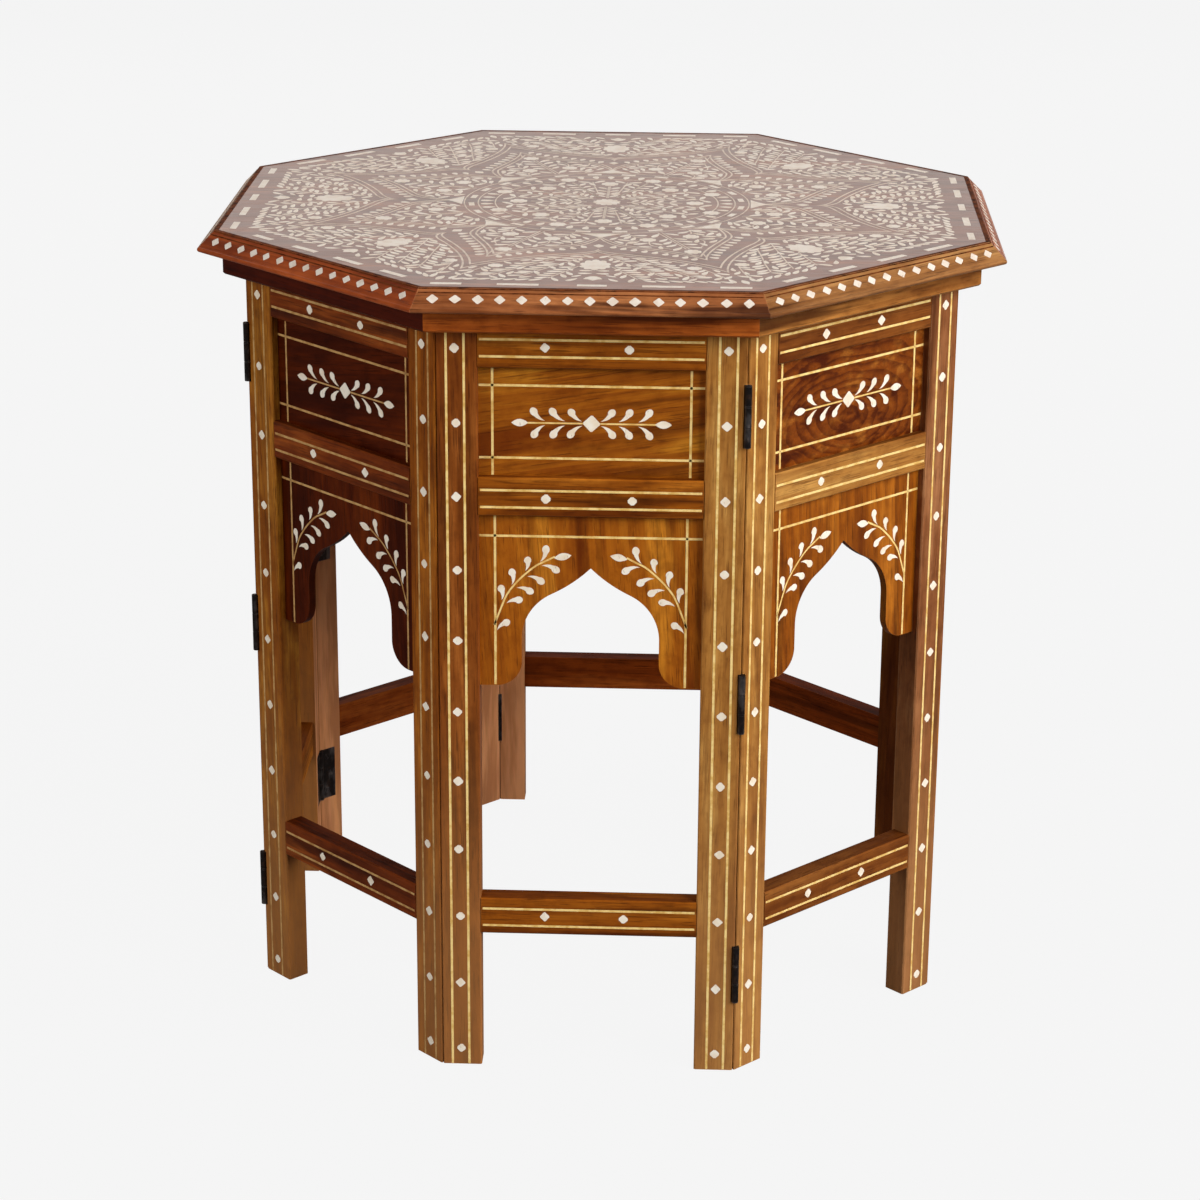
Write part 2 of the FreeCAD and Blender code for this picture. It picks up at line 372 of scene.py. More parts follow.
    def _handling(self) -> bpy.types.NodeTree:
        """Old polish: darker patches, and arrises rubbed to a warmer, paler tone.

        Returns:
            The node group.
        """
        inputs = {"Vector": "Vector", "Color": "Color", "Rubbed": "Color", "Grime": "Color"}
        bench, given, result = self._start("handling_wear", inputs, {"Color": "Color"})
        plain = bench.put("ShaderNodeNewGeometry").outputs["Normal"]
        soft = bench.put("ShaderNodeBevel", {"Radius": self.ARRIS_RADIUS}, samples=6).outputs[0]
        arris = bench.mask(bench.vector("DOT_PRODUCT", plain, soft), 0.99, 0.8)
        patches = bench.noise(given.outputs["Vector"], 55.0, 4.0, 0.6)
        rubbed = bench.sum("MULTIPLY", arris, bench.mask(patches, 0.4, 0.62, 0.15, 0.6))
        stain_and_shade = bench.sum("MULTIPLY", bench.mask(patches, 0.54, 0.74), 0.35)
        grimy = bench.stain(stain_and_shade, given.outputs["Color"], given.outputs["Grime"])
        bench.feed(result.inputs["Color"], bench.mix(rubbed, grimy, given.outputs["Rubbed"]))
        return bench.tree


@dataclass(frozen=True)
class TimberCut:
    """How a piece was cut from its log: where it lies and which way its grain runs."""

    side: PanelSide = PanelSide.FRONT
    run: GrainRun = GrainRun.LEVEL
    tilt: float = 0.0
    shift: Triple = (0.0, 0.0, 0.0)
    mitred_ring: bool = False
    spread: Triple = EVEN
    pale_rail: Optional[float] = None

    @property
    def outward(self) -> Vector:
        """Direction that the panel faces."""
        return self.side.turn.to_3x3() @ Vector((0.0, -1.0, 0.0))

    @property
    def rotation(self) -> Euler:
        """Turn that brings the grain onto X.

        Returns:
            The turn.
        """
        axis = "Z" if self.run is GrainRun.KNOT else "Y"
        grain = Matrix.Rotation(math.radians(self.run.value + self.tilt), 3, axis)
        return (grain @ Matrix.Rotation(-self.side.value * STEP, 3, "Z")).to_euler()


@dataclass(frozen=True)
class WoodFinish:
    """Varnished hardwood of one tone."""

    light: Colour
    middle: Colour
    dark: Colour
    streak: Colour
    rubbed: Colour
    ring_scale: float = 42.0
    ring_amount: float = 1.0
    warp: float = 0.02
    streak_amount: float = 0.3
    gloss: float = 0.0
    gloss_roughness: float = 0.22
    shine: float = 0.2
    polished_all_over: bool = False
    redden: Colour = WHITE
    shade: Colour = (0.5, 0.42, 0.36, 1.0)
    grime: Colour = (0.45, 0.4, 0.38, 1.0)
    upward_painted_shade: Colour = (0.5, 0.4, 0.36, 1.0)
    darker_rail: Colour = (0.52, 0.36, 0.28, 1.0)
    raw_band: Colour = (0.6, 0.5, 0.44, 1.0)
    faded_foot: Colour = tint(180, 126, 74)

    def material(self, name: str, cut: TimberCut, effects: SharedEffects,
                 bare: Optional[Colour] = None) -> Material:
        """Make the timber of one piece.

        Args:
            name: Name of the material.
            cut: How the piece lies in its log.
            effects: The shared node groups.
            bare: Tone of the bare wood on the inner face, where it differs. For the back right
                panel it is darkened, which is painted shade.

        Returns:
            The material.
        """
        bench = MaterialBench(name)
        place = bench.place
        ring = bench.group(effects.round_octagon, {"Vector": place}) if cut.mitred_ring else None
        laid = bench.put("ShaderNodeMapping", {
            "Vector": ring.outputs["Vector"] if ring else place, "Rotation": cut.rotation,
            "Location": cut.shift, "Scale": cut.spread}).outputs[0]
        grain = bench.group(effects.timber, {
            "Vector": laid, "Light": self.light, "Middle": self.middle, "Dark": self.dark,
            "Streak": self.streak, "Ring Scale": self.ring_scale, "Ring Amount": self.ring_amount,
            "Warp": self.warp, "Streak Amount": self.streak_amount}).outputs
        colour = bench.group(effects.handling, {
            "Vector": place, "Color": grain["Color"], "Rubbed": self.rubbed,
            "Grime": self.grime}).outputs[0]
        facing = bench.put("ShaderNodeTexCoord").outputs["Normal"]
        inside = bench.mask(bench.vector("DOT_PRODUCT", facing, -cut.outward), 0.85, 0.95)
        if ring:
            length = ring.outputs["Shade"]
            colour = bench.stain(bench.mask(length, 0.3, 0.45), colour, self.redden)
            colour = bench.stain(bench.mask(length, 0.6, 0.9), colour, self.shade)
        if cut.pale_rail:
            apart = bench.sum("SUBTRACT", bench.axis(place, "Z"), cut.pale_rail)
            other = bench.mask(bench.sum("ABSOLUTE", apart), 0.03, 0.05)
            colour = bench.stain(other, colour, self.darker_rail)
        if bare:
            low = bench.mask(bench.axis(place, "Z"), 0.28, 0.03, 0.0, 0.45)
            colour = bench.mix(low, colour, self.faded_foot)
            band = bench.mask(bench.streaks(laid, 0.1, 120.0, 3.0, 0.6), 0.4, 0.62, 0.0, 0.7)
            raw = bench.stain(band, bench.mix(0.6, grain["Color"], bare), self.raw_band)
            colour = bench.mix(inside, colour, raw)
        roughness = grain["Roughness"]
        if not self.polished_all_over:
            # Upward faces are darkened, which is painted shade, and made duller.
            level = bench.mask(bench.axis(facing, "Z"), 0.9, 0.98)
            colour = bench.stain(bench.sum("MULTIPLY", level, 0.7), colour, self.upward_painted_shade)
            dull = bench.sum("MULTIPLY", bench.sum("MAXIMUM", inside, level), 0.5)
            roughness = bench.sum("ADD", roughness, dull)
        return bench.coat({
            "Base Color": colour, "Roughness": roughness,
            "Normal": bench.bump(grain["Height"], 0.35, 0.00025), "Coat Weight": self.gloss,
            "Coat Roughness": self.gloss_roughness, "Specular IOR Level": self.shine})


@dataclass(frozen=True)
class BoneFinish:
    """Polished bone, with faint grain and a few filled hairlines."""

    pale: Colour = tint(255, 245, 228)
    warm: Colour = tint(242, 220, 190)
    hairline: Colour = tint(150, 116, 84)

    def material(self, name: str) -> Material:
        """Make the bone.

        Args:
            name: Name of the material.

        Returns:
            The material.
        """
        bench = MaterialBench(name)
        piece = bench.noise(bench.place, 140.0)
        upright = bench.vector("MULTIPLY", bench.place, (1.0, 1.0, 0.25))
        grain = bench.noise(upright, 900.0, 3.0, 0.6)
        toned = bench.mix(bench.mask(piece, 0.35, 0.7, 0.05, 0.75), self.pale, self.warm)
        lined = bench.mix(bench.mask(grain, 0.62, 0.72, 0.0, 0.45), toned, self.hairline)
        return bench.coat({"Base Color": lined,
                           "Roughness": bench.mask(grain, 0.3, 0.7, 0.34, 0.46),
                           "Normal": bench.bump(grain, 0.15)})


@dataclass(frozen=True)
class StringingFinish:
    """Thin strips of pale yellow wood."""

    pale: Colour = tint(255, 222, 146)
    deep: Colour = tint(226, 178, 94)
    shine: float = 0.5
    dullness: float = 0.34
    duller_by: float = 0.14

    def material(self, name: str) -> Material:
        """Make the stringing.

        Args:
            name: Name of the material.

        Returns:
            The material.
        """
        bench = MaterialBench(name)
        patch = bench.noise(bench.place, 160.0, 3.0, 0.6)
        grain = bench.noise(bench.place, 1400.0)
        toned = bench.mix(bench.mask(patch, 0.4, 0.68), self.pale, self.deep)
        speckled = bench.mix(bench.mask(grain, 0.55, 0.75, 0.0, 0.5), toned, self.deep)
        roughness = bench.mask(grain, 0.3, 0.7, self.dullness, self.dullness + self.duller_by)
        return bench.coat({"Base Color": speckled, "Roughness": roughness,
                           "Normal": bench.bump(grain, 0.15), "Specular IOR Level": self.shine})


@dataclass(frozen=True)
class IronFinish:
    """Dark oiled iron with rubbed edges and brown bloom."""

    dark: Colour = tint(62, 55, 53)
    bright: Colour = tint(176, 170, 168)
    rust: Colour = tint(70, 50, 40)
    grime: Colour = (0.5, 0.46, 0.42, 1.0)

    def material(self, name: str, effects: SharedEffects) -> Material:
        """Make the iron.

        Args:
            name: Name of the material.
            effects: The shared node groups.

        Returns:
            The material.
        """
        bench = MaterialBench(name)
        bloom = bench.noise(bench.place, 260.0, 4.0, 0.65)
        scale = bench.noise(bench.place, 1800.0)
        upright = bench.vector("MULTIPLY", bench.place, (1.0, 1.0, 0.5))
        wiped = bench.noise(upright, 110.0, 3.0, 0.6)
        rusty = bench.mix(bench.mask(bloom, 0.5, 0.68), self.dark, self.rust)
        toned = bench.mix(bench.mask(wiped, 0.5, 0.66, 0.0, 0.3), rusty, self.bright)
        worn = bench.group(effects.handling, {
            "Vector": bench.place, "Color": toned, "Rubbed": self.bright, "Grime": self.grime})
        return bench.coat({
            "Base Color": worn.outputs["Color"], "Metallic": bench.mask(bloom, 0.48, 0.7, 0.9, 0.5),
            "Roughness": bench.mask(bloom, 0.35, 0.7, 0.4, 0.56),
            "Normal": bench.bump(scale, 0.25)})


@dataclass(frozen=True)
class FloorFinish:
    """Seamless pale studio floor that shows only a faint shadow."""

    darker: Colour = (0.13, 0.13, 0.13, 1.0)
    paler: Colour = (0.15, 0.15, 0.15, 1.0)
    roughness: float = 0.9
    glow_share: float = 0.9

    def material(self, name: str) -> Material:
        """Make the floor's paper.

        Args:
            name: Name of the material.

        Returns:
            The material.
        """
        bench = MaterialBench(name)
        paper = bench.mix(bench.noise(bench.place, 3.0), self.darker, self.paler)
        glow = bench.put("ShaderNodeEmission", {"Color": WHITE})
        seen = bench.put("ShaderNodeLightPath").outputs["Is Camera Ray"]
        share = bench.sum("MULTIPLY", seen, self.glow_share)
        blend = bench.put("ShaderNodeMixShader",
                          {0: share, 1: bench.shader.outputs[0], 2: glow.outputs[0]})
        bench.feed(bench.tree.nodes["Material Output"].inputs["Surface"], blend.outputs[0])
        return bench.coat({"Base Color": paper, "Roughness": self.roughness})


# The tones of each wood: light, middle, dark, its streaks and its rubbed arrises.
HONEY = WoodFinish(tint(210, 155, 80), tint(182, 123, 56), tint(130, 74, 26), tint(88, 42, 12),
                   tint(200, 140, 78))
WORN = WoodFinish(tint(172, 114, 72), tint(146, 88, 50), tint(104, 56, 26), tint(66, 32, 13),
                  tint(206, 166, 126), streak_amount=0.5)
CHESTNUT = WoodFinish(tint(174, 100, 40), tint(140, 73, 23), tint(98, 44, 11), tint(60, 24, 6),
                      tint(164, 94, 44), streak_amount=0.5)
GOLDEN = WoodFinish(tint(194, 126, 42), tint(154, 86, 20), tint(106, 48, 8), tint(64, 26, 4),
                    tint(168, 100, 36))
FIGURED = WoodFinish(tint(200, 128, 34), tint(168, 94, 20), tint(120, 54, 8), tint(70, 26, 4),
                     tint(176, 100, 34), ring_amount=1.1, warp=0.035, streak_amount=0.5)
GLOWING = WoodFinish(tint(208, 130, 36), tint(176, 98, 20), tint(128, 58, 8), tint(74, 28, 4),
                     tint(176, 100, 34), ring_amount=0.7, warp=0.04, streak_amount=0.35)
AMBER = WoodFinish(tint(196, 116, 32), tint(157, 84, 16), tint(106, 48, 7), tint(58, 22, 4),
                   tint(166, 96, 38), streak_amount=0.55)
MOULDED = WoodFinish(tint(196, 142, 84), tint(168, 114, 64), tint(118, 70, 32), tint(64, 32, 14),
                     tint(214, 164, 114), ring_scale=60.0, ring_amount=1.3, streak_amount=0.85,
                     gloss=0.1, shine=0.5, redden=(1.05, 0.8, 0.8, 1.0),
                     shade=(1.0, 0.56, 0.3, 1.0))
RUSSET = WoodFinish(tint(160, 80, 28), tint(126, 54, 13), tint(86, 32, 6), tint(50, 16, 3),
                    tint(154, 82, 34), streak_amount=0.6)
SKIRTING = WoodFinish(tint(206, 140, 70), tint(186, 122, 57), tint(136, 80, 32), tint(80, 40, 12),
                      tint(204, 140, 80), ring_scale=60.0, streak_amount=0.8,
                      redden=(1.0, 0.58, 0.36, 1.0), shade=(0.16, 0.065, 0.02, 1.0))
OXBLOOD = WoodFinish(tint(114, 46, 8), tint(88, 30, 4), tint(60, 16, 2), tint(40, 10, 2),
                     tint(124, 56, 18), shine=0.1)
CURLED = WoodFinish(tint(176, 104, 36), tint(138, 68, 16), tint(78, 28, 5), tint(54, 18, 3),
                    tint(152, 82, 32), ring_scale=34.0, ring_amount=2.0, warp=0.035,
                    streak_amount=0.3)
TABLE_TOP = WoodFinish(tint(156, 84, 40), tint(124, 58, 24), tint(94, 38, 14), tint(62, 24, 8),
                       tint(138, 72, 32), gloss=0.25, shine=0.5, polished_all_over=True)
BARE_WOOD = tint(255, 182, 128)
# Bare wood darkened for the inner faces of the back right panel's legs: painted shade.
SHADED_WOOD = tint(86, 44, 26)
# Darker copy of the pale stringing for the front left panel: painted shade.
SHADED_STRINGING = StringingFinish(tint(208, 164, 104), tint(172, 122, 66))
CREAM_STRINGING = StringingFinish(tint(222, 202, 184), tint(192, 170, 152))
# Dark, dull finish of the band round the field and of the lines below the bevel's crest: partly
# dirty wax in the joint, partly painted shade.
DARK_WAX_AND_SHADE = StringingFinish(tint(112, 58, 30), tint(58, 26, 14), 0.1, 0.75)
# Darker copy of the bone for the top, which is seen at a grazing angle: painted shade.
SHADED_TOP_BONE = BoneFinish(tint(240, 228, 214), tint(222, 201, 180))


def moved(shape: Shape, matrix: Matrix) -> Shape:
    """Move a whole shape, and hand it back."""
    bmesh.ops.transform(shape, matrix=matrix, verts=shape.verts)
    return shape


def link_mesh(name: str, shape: Shape, material: Material) -> bpy.types.Object:
    """Turn a shape in metres into an object of the scene.

    Args:
        name: Name of the object.
        shape: The shape, which is used up.
        material: Its finish.

    Returns:
        The object.
    """
    mesh = bpy.data.meshes.new(name)
    shape.to_mesh(mesh)
    shape.free()
    mesh.materials.append(material)
    made = bpy.data.objects.new(name, mesh)
    bpy.context.scene.collection.objects.link(made)
    return made


def make_piece(name: str, shape: Shape, body: str, material: Material) -> bpy.types.Object:
    """Turn a finished shape in millimetres into a piece that rides on a body.

    Args:
        name: Name of the piece.
        shape: The shape, which is used up.
        body: Body that the piece moves with.
        material: Finish of the piece.

    Returns:
        The piece.
    """
    moved(shape, Matrix.Scale(MILLIMETRE, 4))
    bmesh.ops.recalc_face_normals(shape, faces=shape.faces)
    piece = link_mesh(name, shape, material)
    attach(piece, body)
    log.info("%s: %d faces on %s", name, len(piece.data.polygons), body)
    return piece


def join_shapes(parts: Iterable[Shape]) -> Shape:
    """Put several shapes into one.

    Args:
        parts: The shapes, which are used up.

    Returns:
        One shape with all of them.
    """
    whole = bmesh.new()
    for part in parts:
        carrier = bpy.data.meshes.new("carrier")
        part.to_mesh(carrier)
        part.free()
        whole.from_mesh(carrier)
        bpy.data.meshes.remove(carrier)
    return whole


def soften(shape: Shape, edges: list[bmesh.types.BMEdge], radius: float, segments: int) -> None:
    """Round off some edges of a shape."""
    bmesh.ops.bevel(shape, geom=edges, offset=radius, segments=segments, profile=0.5,
                    affect="EDGES", material=-1)


def soft_block(size: Triple, middle: Triple, radius: float, segments: int) -> Shape:
    """Make a block with softened edges.

    Args:
        size: Its length along each axis.
        middle: Its middle.
        radius: Reach of the softening.
        segments: Steps of the softening.

    Returns:
        The shape.
    """
    block = bmesh.new()
    bmesh.ops.create_cube(block, size=1.0)
    moved(block, Matrix.Translation(middle) @ Matrix.Diagonal((*size, 1.0)))
    soften(block, block.edges[:], radius, segments)
    return block


def soft_rod(reach: float, length: float, sides: int, radius: float, segments: int = 2,
             lower_rim: bool = True) -> Shape:
    """Make an upright rod with softened rims.

    Args:
        reach: Radius of the rod.
        length: Its length.
        sides: Number of its sides.
        radius: Reach of the softening.
        segments: Steps of the softening.
        lower_rim: Whether the lower rim is softened too.

    Returns:
        The shape, with its middle at the origin.
    """
    rod = bmesh.new()
    bmesh.ops.create_cone(rod, cap_ends=True, segments=sides, radius1=reach, radius2=reach,
                          depth=length)
    rims = [edge for edge in rod.edges if abs(edge.verts[0].co.z - edge.verts[1].co.z) < length / 2
            and (lower_rim or edge.verts[0].co.z > 0)]
    soften(rod, rims, radius, segments)
    return rod


def turned(point: Point, angle: float, centre: Point = CENTRE) -> Point:
    """A point given about the origin, turned by an angle in radians and moved to a centre."""
    c, s = math.cos(angle), math.sin(angle)
    return (centre[0] + point[0] * c - point[1] * s, centre[1] + point[0] * s + point[1] * c)


def heading_of(start: Point, end: Point) -> float:
    """Direction from one point to another, in radians."""
    return math.atan2(end[1] - start[1], end[0] - start[0])


class InlayDrawing:
    """Inlay drawn flat in one plane, then given a hair of thickness and put in place."""

    SUNK = 0.15
    BONE_PROUD = 0.1
    STRING_PROUD = 0.06
    STEM_PROUD = 0.05
    SHARPEST_MITRE = 0.35
    WELD = 0.001

    def __init__(self, place: Matrix, proud: float = BONE_PROUD) -> None:
        """Start an empty drawing.

        Args:
            place: From the drawing's plane to the table's frame.
            proud: Height of the finished inlay over the wood.
        """
        self.place = place
        self.proud = proud
        self.shape = bmesh.new()
        self.pen = Matrix.Identity(4)

    def outline(self, points: Sequence[Point]) -> None:
        """Draw one filled shape.

        Args:
            points: Its outline in order.
        """
        made = bmesh.ops.create_circle(self.shape, cap_ends=True, segments=len(points), radius=1.0)
        for vert, (x, y) in zip(made["verts"], points):
            vert.co = self.pen @ Vector((x, y, 0.0))

    def ribbon(self, path: Sequence[Point], width: float, closed: bool = False) -> None:
        """Draw a strip along a path, mitred at its bends.

        Args:
            path: Points along its middle.
            width: Width of the strip.
            closed: Whether the last point runs on to the first.
        """
        line = [Vector(point) for point in path]
        if closed:
            line.append(line[0].copy())
        last = len(line) - 1
        steps = [(line[i + 1] - line[i]).normalized() for i in range(last)]
        made = bmesh.ops.create_grid(self.shape, x_segments=last, y_segments=1, size=1.0)
        for vert in made["verts"]:
            index = round((vert.co.x + 1) / 2 * last)
            before = steps[index - 1] if index or closed else steps[0]
            after = steps[index % last] if index < last or closed else steps[-1]
            tangent = (before + after).normalized()
            spread = width / 2 / max(tangent.dot(after), self.SHARPEST_MITRE)
            sideways = Vector((-tangent.y, tangent.x)) * math.copysign(spread, vert.co.y)
            vert.co = self.pen @ (line[index] + sideways).to_3d()
        if closed:
            bmesh.ops.remove_doubles(self.shape, verts=made["verts"], dist=self.WELD)

    def level(self, half: float, height: float, width: float, middle: float = 0.0) -> None:
        """Draw a straight level strip by half its length, its height, width and middle."""
        self.ribbon([(middle - half, height), (middle + half, height)], width)

    def ring(self, radius: float, width: float, segments: int = 128) -> None:
        """Draw a round band about the pen's origin.

        Args:
            radius: Radius of its middle.
            width: Width of the band.
            segments: Number of steps round it.
        """
        edges: list[bmesh.types.BMEdge] = []
        for reach in (radius - width / 2, radius + width / 2):
            made = bmesh.ops.create_circle(self.shape, segments=segments, radius=reach,
                                           matrix=self.pen)
            edges += {edge for vert in made["verts"] for edge in vert.link_edges}
        bmesh.ops.bridge_loops(self.shape, edges=edges)

    def diamond(self, x: float, y: float, across: float, along: float, turn: float = 0.0,
                blunt: float = 0.1) -> None:
        """Draw a diamond with blunted corners.

        Args:
            x: Its middle across the drawing.
            y: Its middle up the drawing.
            across: Its width.
            along: Its height.
            turn: Turn in degrees.
            blunt: Share of each side that is taken off at a corner.
        """
        aside, ahead = Vector((across / 2, 0.0)), Vector((0.0, along / 2))
        corners = (aside, ahead, -aside, -ahead)
        points: list[Point] = []
        for index, corner in enumerate(corners):
            for neighbour in (corners[index - 1], corners[(index + 1) % 4]):
                cut = corner.lerp(neighbour, blunt)
                points.append(turned((cut.x, cut.y), math.radians(turn), (x, y)))
        self.outline(points)

    def finish(self) -> Shape:
        """Give the drawing its thickness and put it in place.

        Returns:
            Closed shells in the table's frame.
        """
        faces = list(self.shape.faces)
        made = bmesh.ops.extrude_face_region(self.shape, geom=faces, use_keep_orig=True)
        raised = [item for item in made["geom"] if isinstance(item, bmesh.types.BMVert)]
        bmesh.ops.translate(self.shape, verts=raised, vec=(0.0, 0.0, self.proud + self.SUNK))
        return moved(self.shape, self.place @ Matrix.Translation((0.0, 0.0, -self.SUNK)))


@dataclass
class Leaf:
    """A comma-shaped bone leaf, from its pointed tail to its round head."""

    tail: Point
    angle: float
    length: float
    width: float
    curl: float = 0.0

    bulge: float = 0.66
    taper: float = 0.9
    neck: float = 1.0
    stations: Numbers = (0.28, 0.52, 0.76, 0.94)
    disc_stations: Numbers = (0.2, 0.4, 0.58, 0.74, 0.88)
    disc_margin: float = 0.1

    def spine(self, share: float) -> tuple[Point, float]:
        """Point and direction on the bent middle line.

        Args:
            share: Share of the length from the tail.

        Returns:
            The point and the direction there in radians.
        """
        heading = self.angle + self.curl * share
        chord = self.angle + self.curl * share / 2
        reach = self.length * share
        return (self.tail[0] + reach * math.cos(chord),
                self.tail[1] + reach * math.sin(chord)), heading

    def half_width(self, share: float) -> float:
        """Half the width at a share of the length.

        Args:
            share: Share of the length from the tail.

        Returns:
            Half the width there.
        """
        cap = (share - self.bulge) / (1 - self.bulge)
        ball = math.sqrt(max(1 - cap ** 2, 0.0))
        if share < self.bulge:
            tail = math.sin(math.pi / 2 * share / self.bulge) ** self.taper
            ball = max(ball, tail * self.neck)
        return self.width / 2 * ball

    def points(self) -> list[Point]:
        """Outline of the leaf.

        Returns:
            The outline in order.
        """
        sides: list[list[Point]] = [[], []]
        for share in self.stations:
            middle, heading = self.spine(share)
            half = self.half_width(share)
            for side, way in zip(sides, BOTH_WAYS):
                side.append(turned((0.0, way * half), heading, middle))
        return [self.tail, *sides[0], self.spine(1.0)[0], *reversed(sides[1])]

    def discs(self) -> list[Disc]:
        """Discs that stand for the leaf where leaves must keep apart."""
        return [(self.spine(share)[0], self.half_width(share) + self.disc_margin)
                for share in self.disc_stations]


def almond(tip: Point, other: Point, width: float) -> list[Point]:
    """Outline of an almond between two points.

    Args:
        tip: One end.
        other: The other end.
        width: Greatest width.

    Returns:
        The outline in order.
    """
    length = math.dist(tip, other)
    shares = (0.15, 0.35, 0.5, 0.65, 0.85)
    fullness = 0.85
    lower = [(share * length, -width / 2 * math.sin(math.pi * share) ** fullness)
             for share in shares]
    upper = [(x, -y) for x, y in reversed(lower)]
    angle = heading_of(tip, other)
    return [turned(point, angle, tip) for point in (CENTRE, *lower, (length, 0.0), *upper)]


def scalloped(centre: Point, across: float, petals: int = 8, depth: float = 0.18) -> list[Point]:
    """Outline of a small flower.

    Args:
        centre: Its middle.
        across: Its width.
        petals: Number of petals.
        depth: Share of the radius that the notches take.

    Returns:
        The outline in order.
    """
    steps = 4
    count = petals * steps
    points: list[Point] = []
    for index in range(count):
        lift = abs(math.sin(math.pi * index / steps))
        reach = across / 2 * (1 - depth + depth * lift)
        points.append(turned((reach, 0.0), math.tau * index / count, centre))
    return points


def handled_path(start: Point, handle: Point, other: Point, end: Point, steps: int) -> list[Point]:
    """Points along one span with its two handles."""
    knots = [Vector((*point, 0.0)) for point in (start, handle, other, end)]
    return [(point.x, point.y) for point in geometry.interpolate_bezier(*knots, steps + 1)]


def smooth_path(knots: Sequence[Point], steps: int) -> list[Point]:
    """Smooth line through a few points.

    Args:
        knots: The points.
        steps: Divisions of each span.

    Returns:
        Points along the line.
    """
    line = [Vector(knot) for knot in knots]
    path: list[Point] = []
    for index in range(len(line) - 1):
        start, end = line[index], line[index + 1]
        before = line[index - 1] if index else start
        after = line[index + 2] if index + 2 < len(line) else end
        curve = handled_path(start, start + (end - before) / 6, end - (after - start) / 6, end,
                             steps)
        path += curve[1:] if index else curve
    return path


def corner_point(reach: float, aside: float = 0.0) -> Point:
    """Point on the line to the octagon's corner, or aside from it by an angle in degrees."""
    angle = HALF_STEP - math.radians(aside)
    return (reach * math.sin(angle), reach * math.cos(angle))


def corner_path(*places: Point) -> Points:
    """Points given by their reach and their angle aside from the corner's line."""
    return tuple(corner_point(reach, aside) for reach, aside in places)


def arc(radius: float, shares: Sequence[float]) -> list[Point]:
    """Points on a circle, by their share of the angle from a side's axis to the corner."""
    return [(radius * math.sin(HALF_STEP * share), radius * math.cos(HALF_STEP * share))
            for share in shares]


